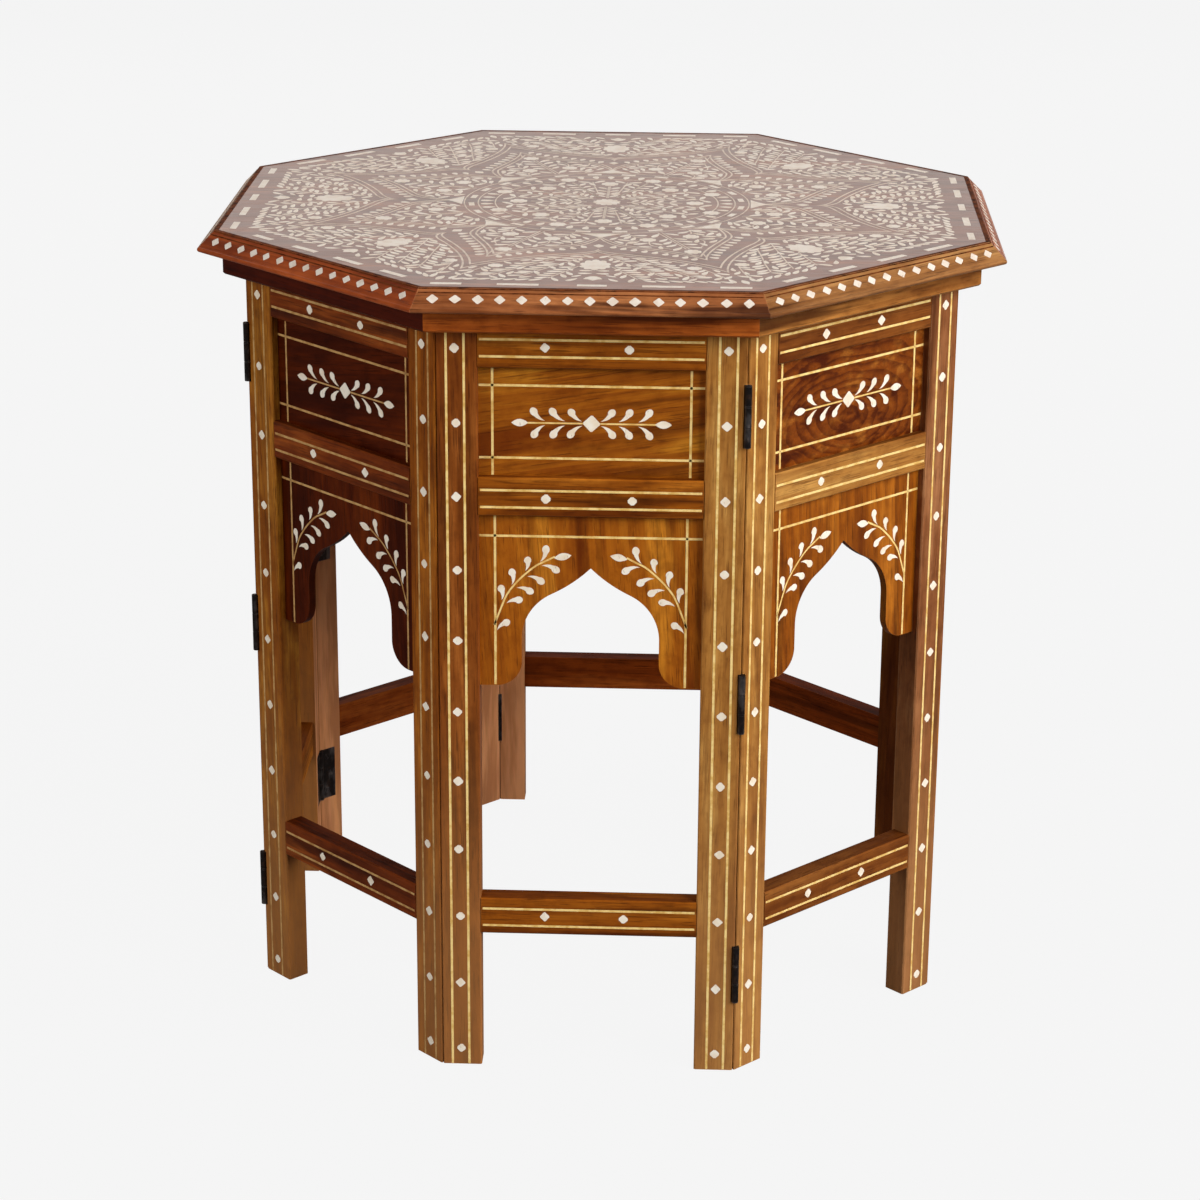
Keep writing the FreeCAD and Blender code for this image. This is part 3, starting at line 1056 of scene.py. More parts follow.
@dataclass
class PanelInlay:
    """Bone and stringing on one panel's legs, rails, frieze and arch."""

    side: PanelSide
    first_seed: int = 40
    face: float = 222.1
    board_face: float = 217.1
    leg_height: float = 480.0
    leg_line_margin: float = 0.4
    leg_lines: Pair = (75.0, 85.5)
    leg_diamond_line: float = 80.2
    leg_diamonds: int = 11
    leg_diamond_top: float = 468.0
    leg_diamond_pitch: float = 45.7
    rail_half: float = 66.0
    rails: tuple[tuple[float, float, float, float, float], ...] = (
        (473.4, 463.1, 468.3, -27.0, 22.0), (381.2, 370.6, 376.2, -27.0, 24.7),
        (108.4, 97.1, 103.2, -27.6, 21.6))
    string_width: float = 1.45
    diamond: float = 6.9
    diamond_spread: Pair = (0.94, 1.06)
    diamond_stray: Pair = (0.4, 0.5)
    diamond_turn: float = 6.0
    diamond_blunt: Pair = (0.1, 0.24)
    leaf_width: float = 4.5
    leaf_lead: float = 0.4
    leaf_overrun: float = 1.26
    leaf_stations: Numbers = (
        0.15, 0.3, 0.45, 0.56, 0.62, 0.68, 0.74, 0.8, 0.86, 0.91, 0.95, 0.985)
    frieze_lines: Pair = (444.4, 400.0)
    frieze_uprights: float = 58.7
    frieze_span: Pair = (389.3, 455.7)
    frieze_half: float = 66.7
    sprig_height: float = 421.7
    sprig_diamond: float = 11.0
    sprig_turn: float = 3.0
    sprig_stray: Pair = (0.3, 0.4)
    sprig_stem: Pair = (-38.5, -5.2)
    sprig_stem_width: float = 1.0
    sprig_leaves: Points = ((12.2, 6.8), (22.6, 7.0), (34.2, 7.1))
    sprig_leaf_run: float = 6.6
    sprig_leaf_root: float = 1.4
    sprig_curl: float = 1.1
    sprig_almond: Pair = (37.5, 47.5)
    sprig_almond_width: float = 4.7
    arch_line: float = 351.2
    arch_uprights: float = 57.5
    arch_span: Pair = (256.0, 364.7)
    arch_stem: Points = (
        (-58.0, 294.5), (-57.3, 296.5), (-54.0, 305.4), (-50.3, 314.3), (-45.1, 321.3),
        (-39.4, 327.2), (-32.8, 332.7), (-27.2, 335.6), (-21.5, 338.6))
    arch_stem_steps: int = 3
    arch_stem_width: float = 1.1
    arch_outer_leaves: tuple[tuple[Point, Point], ...] = (
        ((-53.6, 310.4), (-54.0, 317.8)), ((-47.4, 320.3), (-47.4, 328.2)),
        ((-39.4, 329.2), (-38.0, 336.1)), ((-30.5, 335.1), (-27.0, 343.1)))
    arch_inner_leaves: tuple[tuple[Point, Point], ...] = (
        ((-56.4, 291.1), (-50.7, 296.0)), ((-50.7, 308.4), (-43.2, 310.6)),
        ((-44.6, 318.3), (-36.6, 316.3)), ((-38.0, 325.7), (-30.0, 322.8)),
        ((-29.5, 332.7), (-21.0, 330.2)))
    arch_curl: float = 1.2
    arch_almond: tuple[Point, Point] = ((-22.0, 337.6), (-11.6, 339.6))
    arch_almond_width: float = 4.6

    def _plane(self, reach: float) -> Matrix:
        """From a drawing on the panel to the table's frame.

        Args:
            reach: Distance of the drawing from the table's middle.

        Returns:
            The drawing's place.
        """
        upright = Matrix.Translation((0.0, -reach, 0.0)) @ Matrix(
            ((1.0, 0.0, 0.0), (0.0, 0.0, -1.0), (0.0, 1.0, 0.0))).to_4x4()
        return self.side.turn @ upright

    def _leg_and_rail_strings(self) -> InlayDrawing:
        """Lines along the legs and the three rails.

        Returns:
            The drawing.
        """
        drawing = InlayDrawing(self._plane(self.face), InlayDrawing.STRING_PROUD)
        low, high = self.leg_line_margin, self.leg_height - self.leg_line_margin
        for way in BOTH_WAYS:
            for line in self.leg_lines:
                drawing.ribbon([(way * line, low), (way * line, high)], self.string_width)
        for upper, lower, *_ in self.rails:
            for height in (upper, lower):
                drawing.level(self.rail_half, height, self.string_width)
        return drawing

    def _board_strings(self) -> InlayDrawing:
        """Lines and stems on the frieze and the arch.

        Returns:
            The drawing.
        """
        drawing = InlayDrawing(self._plane(self.board_face), InlayDrawing.STRING_PROUD)
        for height in (*self.frieze_lines, self.arch_line):
            drawing.level(self.frieze_half, height, self.string_width)
        uprights = ((self.frieze_uprights, self.frieze_span), (self.arch_uprights, self.arch_span))
        for way in BOTH_WAYS:
            drawing.pen = Matrix.Diagonal((way, 1.0, 1.0, 1.0))
            for across, span in uprights:
                drawing.ribbon([(across, height) for height in span], self.string_width)
            drawing.ribbon([(across, self.sprig_height) for across in self.sprig_stem],
                           self.sprig_stem_width)
            drawing.ribbon(smooth_path(self.arch_stem, self.arch_stem_steps), self.arch_stem_width)
        return drawing

    def _leg_and_rail_bone(self, hand: Handwork) -> InlayDrawing:
        """Diamonds along the legs and the three rails.

        Args:
            hand: Source of the small unevenness of handwork.

        Returns:
            The drawing.
        """
        drawing = InlayDrawing(self._plane(self.face))
        spots: list[Point] = []
        for way in BOTH_WAYS:
            for index in range(self.leg_diamonds):
                spots.append((way * self.leg_diamond_line,
                              self.leg_diamond_top - index * self.leg_diamond_pitch))
        for *_, height, left, right in self.rails:
            spots += [(left, height), (right, height)]
        for x, height in spots:
            across, along = (self.diamond * hand.uniform(*self.diamond_spread) for _ in range(2))
            x += hand.stray(self.diamond_stray[0])
            height += hand.stray(self.diamond_stray[1])
            drawing.diamond(x, height, across, along, hand.stray(self.diamond_turn),
                            hand.uniform(*self.diamond_blunt))
        return drawing

    def _board_bone(self, hand: Handwork) -> InlayDrawing:
        """Sprigs on the frieze and the arch.

        Args:
            hand: Source of the small unevenness of handwork.

        Returns:
            The drawing.
        """
        drawing = InlayDrawing(self._plane(self.board_face))
        middle = self.sprig_height
        near, far = self.sprig_almond
        drawing.diamond(0.0, middle, self.sprig_diamond, self.sprig_diamond,
                        hand.stray(self.sprig_turn))
        for mirror in BOTH_WAYS:
            drawing.pen = Matrix.Diagonal((mirror, 1.0, 1.0, 1.0))
            drawing.outline(almond((near, middle), (far, middle), self.sprig_almond_width))
            for across, rise in self.sprig_leaves:
                for way in BOTH_WAYS:
                    root = across - self.sprig_leaf_run + hand.stray(self.sprig_stray[0])
                    head = (across + hand.stray(self.sprig_stray[1]), middle + way * rise)
                    tail = (root, middle + way * self.sprig_leaf_root)
                    drawing.outline(self._leaf(tail, head, way * self.sprig_curl))
            drawing.outline(almond(*self.arch_almond, self.arch_almond_width))
            for leaves, curl in ((self.arch_outer_leaves, self.arch_curl),
                                 (self.arch_inner_leaves, -self.arch_curl)):
                for tail, head in leaves:
                    drawing.outline(self._leaf(tail, head, curl))
        return drawing

    def _leaf(self, tail: Point, head: Point, curl: float) -> list[Point]:
        """Outline of a slender leaf.

        Args:
            tail: Where it starts.
            head: Middle of its round head.
            curl: Angle in radians by which it bends on the way.

        Returns:
            The outline in order.
        """
        angle = heading_of(tail, head) - curl * self.leaf_lead
        length = math.dist(tail, head) * self.leaf_overrun
        return Leaf(tail, angle, length, self.leaf_width, curl, bulge=0.78, taper=1.15, neck=0.66,
                    stations=self.leaf_stations).points()

    def build(self, bone: Material, stringing: Material) -> None:
        """Build both kinds of inlay on the panel.

        Args:
            bone: Finish of the bone.
            stringing: Finish of the lines.
        """
        hand = Handwork(self.first_seed + self.side.value)
        strings = join_shapes([self._leg_and_rail_strings().finish(),
                               self._board_strings().finish()])
        make_piece(f"{self.side.body}_stringing", strings, self.side.body, stringing)
        shapes = join_shapes([self._leg_and_rail_bone(hand).finish(),
                              self._board_bone(hand).finish()])
        make_piece(f"{self.side.body}_bone_inlay", shapes, self.side.body, bone)


@dataclass(frozen=True)
class LeafSeat:
    """Where a hinge's leaf lies: reach of its axis, then its face and far edge from the axis."""

    reach: float
    face: float
    end: float


@dataclass
class PanelHinges:
    """Half of the six butt hinges that join a panel to its neighbours."""

    side: PanelSide
    heights: Numbers = (429.0, 248.0, 67.0)
    height: float = 38.0
    outside: LeafSeat = LeafSeat(222.5, 0.25, 17.35)
    inside: LeafSeat = LeafSeat(206.7, 0.4, 13.5)
    leaf_start: float = 2.4
    leaf_thickness: float = 1.2
    soft_edge: float = 0.2
    barrel_radius: float = 2.1
    barrel_sides: int = 24
    knuckle_gap: float = 0.3
    bore_depth: float = 0.6
    bore_clearance: float = 0.06
    neck_start: float = 1.2
    neck_size: Triple = (1.8, 1.0, 0.4)
    neck_soft_edge: float = 0.1
    pin_radius: float = 1.0
    pin_sides: int = 16
    pin_overhang: float = 0.3
    pin_dome: float = 0.35
    screw_radius: float = 2.0
    screw_height: float = 0.5
    screw_sides: int = 16
    screw_sunk: float = 0.2
    screw_soft_edge: float = 0.12
    screw_rows: Points = ((6.4, -13.0), (9.8, 0.0), (6.4, 13.0))
    slot_half: float = 0.3
    slot_depth: float = 0.25
    slot_share: float = 0.9
    slot_facing: float = 0.9
    end_facing: float = 0.99
    bisect_reach: float = 0.0001

    @property
    def knuckle_length(self) -> float:
        """Length of one of the three knuckles."""
        return (self.height - 2 * self.knuckle_gap) / 3

    def _seat(self, outside: bool, on_right: bool, height: float) -> Matrix:
        """From a hinge's own axes to the table's frame.

        Args:
            outside: Whether the barrel stands outside the ring.
            on_right: Whether the hinge is on the panel's right leg.
            height: Height of its middle.

        Returns:
            X along the leaf, Y into the wood and Z up, from the barrel's middle.
        """
        c, s = math.cos(HALF_STEP), math.sin(HALF_STEP)
        reach = (self.outside if outside else self.inside).reach / c
        along = (-s, c, 0.0) if outside else (-1.0, 0.0, 0.0)
        into = (-c, -s, 0.0) if outside else (0.0, -1.0, 0.0)
        seat = Matrix((along, into, (0.0, 0.0, 1.0))).transposed().to_4x4()
        seat.translation = (reach * s, -reach * c, height)
        mirror = Matrix.Diagonal((1.0 if on_right else -1.0, 1.0, 1.0, 1.0))
        return self.side.turn @ mirror @ seat

    def _leaf(self, fit: LeafSeat) -> Shape:
        """Plate with softened edges, and three slotted screws.

        Args:
            fit: How the leaf lies.

        Returns:
            The shape in the hinge's own axes.
        """
        size = (fit.end - self.leaf_start, self.leaf_thickness, self.height)
        middle = ((fit.end + self.leaf_start) / 2, fit.face + self.leaf_thickness / 2, 0.0)
        plate = soft_block(size, middle, self.soft_edge, 2)
        screws = [self._screw(along, up, fit.face) for along, up in self.screw_rows]
        return join_shapes([plate, *screws])

    def _screw(self, along: float, up: float, face: float) -> Shape:
        """Low round screw head with a slot, a hair proud of the plate.

        Args:
            along: Distance along the leaf.
            up: Height from the hinge's middle.
            face: Distance from the barrel's middle to the plate's outer face.

        Returns:
            The shape in the hinge's own axes.
        """
        head = soft_rod(self.screw_radius, self.screw_height, self.screw_sides,
                        self.screw_soft_edge, lower_rim=False)
        for way in BOTH_WAYS:
            whole = head.verts[:] + head.edges[:] + head.faces[:]
            edge = (way * self.slot_half, 0.0, 0.0)
            bmesh.ops.bisect_plane(head, geom=whole, dist=self.bisect_reach, plane_co=edge,
                                   plane_no=(1.0, 0.0, 0.0))
        reach = self.slot_half * self.slot_share
        slot = [item for item in head.faces if item.normal.z > self.slot_facing
                and abs(item.calc_center_median().x) < reach]
        sunk = bmesh.ops.extrude_face_region(head, geom=slot)["geom"]
        lowered = [item for item in sunk if isinstance(item, bmesh.types.BMVert)]
        bmesh.ops.translate(head, verts=lowered, vec=(0.0, 0.0, -self.slot_depth))
        place = Matrix.Translation((along, face + self.screw_sunk, up))
        facing_out = place @ Matrix.Rotation(math.pi / 2, 4, "X")
        return moved(head, facing_out @ Matrix.Rotation(along + up, 4, "Z"))

    def _knuckle(self, index: int, face: float) -> Shape:
        """Rolled knuckle with a bore for the pin, and the neck that joins it to the plate.

        Args:
            index: Place from the bottom.
            face: Distance from the barrel's middle to the plate's outer face.

        Returns:
            The shape in the hinge's own axes.
        """
        barrel = soft_rod(self.barrel_radius, self.knuckle_length, self.barrel_sides,
                          self.soft_edge)
        ends = [item for item in barrel.faces if abs(item.normal.z) > self.end_facing]
        wall = self.barrel_radius - self.soft_edge - self.pin_radius - self.bore_clearance
        bmesh.ops.inset_individual(barrel, faces=ends, thickness=wall)
        for item in ends:
            bmesh.ops.translate(barrel, verts=item.verts[:], vec=item.normal * -self.bore_depth)
        length, thickness, shorter_by = self.neck_size
        middle = ((self.leaf_start + self.neck_start) / 2, face + self.leaf_thickness / 2, 0.0)
        neck = soft_block((length, thickness, self.knuckle_length - shorter_by), middle,
                          self.neck_soft_edge, 1)
        whole = join_shapes([barrel, neck])
        rise = (index - 1) * (self.knuckle_length + self.knuckle_gap)
        bmesh.ops.translate(whole, verts=whole.verts, vec=(0.0, 0.0, rise))
        return whole

    def build(self, iron: Material) -> None:
        """Build the panel's hinge leaves, and its pins where it holds them.

        Args:
            iron: Finish of the hinges.
        """
        leaves: list[Shape] = []
        pins: list[Shape] = []
        knuckles = (0, 2) if self.side.carries_pins else (1,)
        for on_right in (True, False):
            outside = on_right == self.side.carries_pins
            fit = self.outside if outside else self.inside
            for height in self.heights:
                seat = self._seat(outside, on_right, height)
                rolled = [self._knuckle(index, fit.face) for index in knuckles]
                leaves.append(moved(join_shapes([self._leaf(fit), *rolled]), seat))
                if self.side.carries_pins:
                    length = self.height + self.pin_overhang
                    pin = soft_rod(self.pin_radius, length, self.pin_sides, self.pin_dome, 3)
                    pins.append(moved(pin, seat))
        body = self.side.body
        piece = make_piece(f"{body}_butt_hinges", join_shapes(leaves), body, iron)
        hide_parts(f"{body}_hinge_leaves")
        if pins:
            piece = make_piece(f"{body}_hinge_pins_round", join_shapes(pins), body, iron)
            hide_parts(f"{body}_hinge_pins")


@dataclass(frozen=True)
class Stem:
    """A stem of the foliage, with pairs of leaves along it."""

    knots: Points
    pitch: float = 6.0
    length: float = 10.0
    width: float = 3.4
    end_leaf: bool = True


class LeafBed:
    """One half of an eighth of the top's foliage, with leaves that keep apart."""

    STEM_STEPS = 8
    FIRST_PAIR = 0.6
    PAIR_SPREAD = (0.92, 1.08)
    PAIR_CURL = (-0.1, 0.5)
    PAIR_ASIDE = 0.5
    SPLAY = 0.86
    FIRST_GAP = 0.1
    PAIR_GAP = 0.4
    END_GAP = 0.2
    SINGLE_GAP = 0.35
    SINGLE_LENGTH = 8.8
    SINGLE_WIDTH = 3.1
    SINGLE_SPREAD = (0.85, 1.1)
    SINGLE_LEAN = (0.35, 1.05)
    SINGLE_CURLS = (-0.5, 0.5)

    def __init__(self, border: Sequence[Point], margin: float, seed: int) -> None:
        """Start an empty bed.

        Args:
            border: Outline of the bed.
            margin: Distance that leaves keep from it.
            seed: Start of the small unevenness of handwork.
        """
        self.border = list(border)
        self.margin = margin
        self.hand = Handwork(seed)
        self.leaves: list[Leaf] = []
        self.stems: list[list[Point]] = []
        self.taken: list[Disc] = []

    def _inside(self, point: Point, margin: float) -> bool:
        """Whether a point lies in the bed and far enough from its border.

        Args:
            point: The point.
            margin: The least distance from the border.

        Returns:
            True where it does.
        """
        x, y = point
        odd = False
        for (x0, y0), (x1, y1) in zip(self.border, self.border[1:] + self.border[:1]):
            if (y0 > y) != (y1 > y) and x < (x1 - x0) * (y - y0) / (y1 - y0) + x0:
                odd = not odd
            here, start, end = Vector(point), Vector((x0, y0)), Vector((x1, y1))
            near, share = geometry.intersect_point_line(here, start, end)
            nearest = near if 0 <= share <= 1 else start if share < 0 else end
            if (nearest.to_2d() - here).length < margin:
                return False
        return odd

    def _fits(self, leaf: Leaf, gap: float) -> bool:
        """Whether a leaf lies in the bed and clear of what is there.

        Args:
            leaf: The leaf.
            gap: Least distance from its neighbours.

        Returns:
            True where it does.
        """
        for centre, radius in leaf.discs():
            if not self._inside(centre, radius + self.margin):
                return False
            for other, reach in self.taken:
                if math.dist(centre, other) < radius + reach + gap:
                    return False
        return True

    def _add(self, leaf: Leaf, gap: float) -> None:
        """Keep a leaf if it fits.

        Args:
            leaf: The leaf.
            gap: Least distance from its neighbours.
        """
        if self._fits(leaf, gap):
            self.leaves.append(leaf)
            self.taken += leaf.discs()

    def _grow(self, stem: Stem) -> None:
        """Lay a stem with pairs of leaves along it.

        Args:
            stem: The stem.
        """
        path = smooth_path(stem.knots, self.STEM_STEPS)
        self.stems.append(path)
        since = stem.pitch * self.FIRST_PAIR
        for start, end in zip(path, path[1:]):
            since += math.dist(start, end)
            if since < stem.pitch:
                continue
            since -= stem.pitch
            heading = heading_of(start, end)
            for way in BOTH_WAYS:
                size = self.hand.uniform(*self.PAIR_SPREAD)
                curl = way * self.hand.uniform(*self.PAIR_CURL)
                tail = turned((0.0, way * self.PAIR_ASIDE), heading, end)
                angle = heading + way * self.SPLAY
                leaf = Leaf(tail, angle, stem.length * size, stem.width * size, curl)
                self._add(leaf, self.PAIR_GAP)
        if stem.end_leaf:
            self._add(Leaf(path[-1], heading_of(*path[-2:]), stem.length, stem.width), self.END_GAP)

    def _fill(self, tries: int) -> None:
        """Put single leaves into the places that are still bare.

        Args:
            tries: Number of places tried.
        """
        limits = [(min(line), max(line)) for line in zip(*self.border)]
        for _ in range(tries):
            x, y = (self.hand.uniform(*limit) for limit in limits)
            lean = self.hand.choice(BOTH_WAYS) * self.hand.uniform(*self.SINGLE_LEAN)
            size = self.hand.uniform(*self.SINGLE_SPREAD)
            curl = self.hand.choice(self.SINGLE_CURLS)
            angle = heading_of(CENTRE, (x, y)) + lean
            length, width = self.SINGLE_LENGTH * size, self.SINGLE_WIDTH * size
            self._add(Leaf((x, y), angle, length, width, curl), self.SINGLE_GAP)

    def plant(self, clear: Sequence[Disc], stems: Sequence[Stem], tries: int,
              first: Sequence[Leaf] = ()) -> "LeafBed":
        """Fill the bed.

        Args:
            clear: Round places that stay free of leaves.
            stems: Stems in the order in which they are laid.
            tries: Number of places tried for single leaves.
            first: Leaves that are laid before the stems.

        Returns:
            The bed itself.
        """
        self.taken += clear
        for leaf in first:
            self._add(leaf, self.FIRST_GAP)
        for stem in stems:
            self._grow(stem)
        self._fill(tries)
        return self


@dataclass
class TopInlay:
    """Bone and stringing on the top: border, star, foliage, ring and medallion."""

    body: str = "table_top"
    height: float = 508.0
    field_edge: float = 239.5
    # The band round the field is partly a dark joint and partly painted shade.
    joint_width: float = 2.6
    joint_inset: float = 1.35
    bars: Points = ((-84.0, 18.0), (-42.5, 24.0), (0.0, 18.0), (42.5, 24.0),
                               (84.0, 19.0))
    slanted_bars: Points = ((-63.0, 18.0), (-22.0, 21.0), (21.0, 24.0), (63.0, 22.0))
    bar_line: float = 228.8
    bar_width: float = 4.2
    bar_stray: float = 0.8
    bar_spread: Pair = (0.95, 1.05)
    border_seed: int = 3
    corner_almond: tuple[Point, Point] = (corner_point(227.0), corner_point(238.0))
    corner_almond_width: float = 4.4
    star_spans: tuple[Span, Span] = (
        ((0.0, 141.0), (1.5, 146.0), (7.0, 149.5), (14.0, 151.5)),
        ((14.0, 151.5), (32.0, 157.5), (62.0, 170.0), (78.8, 190.3)))
    inner_spans: tuple[Span, Span] = (
        ((0.0, 104.6), (2.0, 113.0), (7.0, 123.5), (14.0, 127.5)),
        ((14.0, 127.5), (30.0, 136.0), (52.0, 144.0), (65.8, 158.9)))
    span_steps: tuple[int, int] = (6, 12)
    star_gap: float = 4.2
    inner_gap: float = 3.6
    cusp_reach: float = 9.0
    cusp_lead: float = 5.0
    cusp_handle: Point = (1.2, 4.5)
    string_width: float = 1.25
    stem_width: float = 0.95
    tooth_pitch: float = 7.2
    tooth_lift: float = 1.2
    tooth_size: Pair = (6.8, 4.0)
    first_tooth: float = 5.5
    tooth_start: float = 0.3
    greatest_tooth_angle: float = 1.9
    rings: Numbers = (92.0, 83.0, 72.0)
    ring_string_width: float = 0.9
    ring_bars: int = 24
    ring_bar_reach: float = 87.4
    ring_bar_half: float = 4.7
    ring_bar_width: float = 3.6
    ring_drops: int = 48
    ring_drop: Leaf = field(default_factory=lambda: Leaf((0.0, 73.2), math.pi / 2, 8.4, 4.4))
    ring_flower: Disc = ((0.0, 73.4), 11.5)
    palmette: Points = ((-12.4, 93.0), (12.4, 93.0), (5.6, 98.2), (0.0, 103.6),
                                   (-5.6, 98.2))
    cusp_diamond: tuple[float, float, float, float] = (0.0, 126.5, 7.0, 9.0)
    medallion_flower: Disc = ((0.0, 57.0), 12.0)
    point_flower: Disc = (corner_point(150.0), 11.3)
    star_flower: Disc = (corner_point(112.0, 7.3), 11.0)
    outer_flower: Disc = ((59.0, 182.0), 9.6)
    rosette_width: float = 18.4
    rosette_petals: int = 12
    bloom_width: float = 19.4
    bloom_petals: int = 10
    bloom_reach: float = 179.0
    bloom_stretch: Pair = (1.65, 1.15)
    bud: Points = (
        (0.0, 216.5), (-3.0, 213.4), (-5.7, 213.0), (-4.4, 209.2), (-2.0, 206.4), (0.0, 205.6),
        (2.0, 206.4), (4.4, 209.2), (5.7, 213.0), (3.0, 213.4))
    axis_overlap: float = 0.2
    foliage_edge: float = 222.0
    outer_clear: tuple[Disc, ...] = (
        ((0.0, 178.5), 10.0), ((0.0, 168.0), 6.5), ((0.0, 210.5), 6.4), ((59.0, 182.0), 5.6))
    outer_stems: tuple[Stem, ...] = (
        Stem(((9.8, 181.0), (16.0, 193.0), (22.0, 204.0), (26.0, 212.0))),
        Stem(((5.0, 153.0), (14.0, 166.0), (25.0, 182.0), (36.0, 198.0), (43.0, 209.0))),
        Stem(((24.0, 160.5), (36.0, 176.0), (49.0, 192.0), (59.0, 206.0))),
        Stem(((64.0, 184.5), (72.0, 196.0), (79.0, 208.0))))
    outer_tries: int = 2200
    axis_leaves: Numbers = (150.5, 191.5, 198.5)
    axis_leaf_aside: float = 0.9
    edge_leaves: int = 8
    edge_leaf_start: float = 29.0
    edge_leaf_pitch: float = 7.4
    edge_leaf_inset: float = 8.0
    ring_edge: float = 92.8
    star_clear: tuple[Disc, ...] = ((corner_point(150.0), 6.4), (corner_point(112.0, 7.3), 6.2))
    star_stems: tuple[Stem, ...] = (
        Stem(corner_path((95.0, 0.8), (112.0, 0.5), (142.0, 0.4)), end_leaf=False),
        Stem(corner_path((96.0, 12.0), (104.0, 10.0), (106.0, 8.0)), 5.0, end_leaf=False),
        Stem(corner_path((117.5, 7.5), (126.0, 8.0), (134.0, 6.0), (140.0, 4.0))),
        Stem(corner_path((113.0, 11.0), (118.0, 14.0), (126.0, 15.0)), 5.0),
        Stem(corner_path((154.0, 2.0), (158.0, 1.4), (166.0, 0.8)), 5.0))
    star_tries: int = 900
    star_arc: Numbers = (1.0, 0.8, 0.6, 0.4)
    star_foot: Points = ((12.6, 93.0), (4.5, 98.0), (0.0, 103.8))
    medallion_edge: float = 70.6
    medallion_clear: tuple[Disc, ...] = (((0.0, 57.0), 6.8), (CENTRE, 10.4),
                                         (corner_point(73.4), 6.6))
    medallion_stems: tuple[Stem, ...] = (
        Stem(((0.4, 13.0), (0.4, 30.0), (0.4, 49.0)), 7.4, 8.0, 3.1, end_leaf=False),
        Stem(corner_path((16.0, 0.8), (40.0, 0.4), (65.0, 0.3)), 6.4, 8.2, 3.1, end_leaf=False),
        Stem(corner_path((28.0, 9.0), (46.0, 11.0), (64.0, 12.0))))
    medallion_tries: int = 700
    medallion_arc: Numbers = (1.0, 0.75, 0.5, 0.25)
    medallion_start: float = 8.0
    medallion_shoulder: Point = (3.6, 9.0)
    leaf_spread: Pair = (0.95, 1.05)
    leaf_stray: float = 0.15
    leaf_turn: float = 0.08
    bevel_crest: Pair = (239.5, 508.0)
    bevel_brow: Pair = (248.88, 498.2)
    # Two dark lines below the bevel's crest, by depth below it and width: painted shadow lines of a
    # bead.
    crest_shadow_lines: Points = ((0.6, 0.8), (3.3, 0.8))
    edge_diamonds: int = 15
    edge_pitch: float = 13.0
    edge_diamond: Pair = (7.2, 6.3)
    edge_diamond_level: float = -0.7
    edge_stray: float = 0.4
    edge_turn: float = 3.0
    edge_spreads: tuple[Pair, Pair] = ((0.94, 1.06), (0.94, 1.04))
    edge_seed: int = 5
    halves: list[Matrix] = field(default_factory=list)

    def __post_init__(self) -> None:
        """Work out the sixteen half sectors, each a turn and a mirror of the first."""
        for side in PanelSide:
            for way in (1.0, -1.0):
                self.halves.append(side.turn @ Matrix.Diagonal((way, -1.0, 1.0, 1.0)))

    @property
    def _plane(self) -> Matrix:
        """From a drawing on the top to the table's frame."""
        return Matrix.Translation((0.0, 0.0, self.height))

    @property
    def _sectors(self) -> list[Matrix]:
        """The unmirrored half of each sector, for what stands on a side's axis."""
        return self.halves[::2]

    def _half_line(self, spans: tuple[Span, Span]) -> list[Point]:
        """Points along half of one star point's edge."""
        first, second = (handled_path(*span, steps) for span, steps in zip(spans, self.span_steps))
        return first + second[1:]

    def _inset(self, path: Sequence[Point], distance: float) -> list[Point]:
        """Line beside a half edge, nearer the middle, trimmed at the two axes.

        Args:
            path: The half edge from the side axis to the corner line.
            distance: How far it lies inside.

        Returns:
            The line's points.
        """
        line: list[Point] = []
        for index, point in enumerate(path):
            before = path[max(index - 1, 0)]
            after = path[min(index + 1, len(path) - 1)]
            line.append(turned((0.0, -distance), heading_of(before, after), point))
        corner = math.tan(HALF_STEP)
        kept = [(x, y) for x, y in line if self.cusp_reach < x < y * corner]
        cusp = path[0][1] - distance
        lead = Vector(kept[0]) - (Vector(kept[1]) - Vector(kept[0])).normalized() * self.cusp_lead
        handle = (self.cusp_handle[0], cusp + self.cusp_handle[1])
        start = handled_path((0.0, cusp), handle, (lead.x, lead.y), kept[0], self.span_steps[0])
        slope = (kept[-1][1] - kept[-2][1]) / (kept[-1][0] - kept[-2][0])
        reach = (kept[-1][1] - slope * kept[-1][0]) / (1 - slope * corner)
        return [*start, *kept[1:], (reach * corner, reach)]

    @staticmethod
    def _all_round(half: Sequence[Point]) -> list[Point]:
        """Closed line made of sixteen copies of a half edge.

        Args:
            half: Points from the side axis to the corner line.

        Returns:
            The line's points, the last not repeated.
        """
        ahead = [(-x, y) for x, y in reversed(half)] + list(half)[1:]
        line: list[Point] = []
        for step in range(SIDES):
            line += [turned(point, -step * STEP) for point in ahead[:-1]]
        return [(x, -y) for x, y in line]

    def _strings(self) -> InlayDrawing:
        """Lines of the star and the ring.

        Returns:
            The drawing.
        """
        drawing = InlayDrawing(self._plane, InlayDrawing.STRING_PROUD)
        for spans, gap in ((self.star_spans, self.star_gap), (self.inner_spans, self.inner_gap)):
            outer = self._half_line(spans)
            for half in (outer, self._inset(outer, gap)):
                drawing.ribbon(self._all_round(half), self.string_width, closed=True)
        for radius in self.rings:
            drawing.ring(radius, self.ring_string_width)
        return drawing

    def _border(self) -> InlayDrawing:
        """Bars along the edge and almonds at the corners.

        Returns:
            The drawing.
        """
        drawing = InlayDrawing(self._plane)
        hand = Handwork(self.border_seed)
        for step, pen in enumerate(self._sectors):
            drawing.pen = pen
            for x, length in self.slanted_bars if step % 2 else self.bars:
                middle = x + hand.stray(self.bar_stray)
                half = length * hand.uniform(*self.bar_spread) / 2
                drawing.level(half, self.bar_line, self.bar_width, middle)
            drawing.outline(almond(*self.corner_almond, self.corner_almond_width))
        return drawing

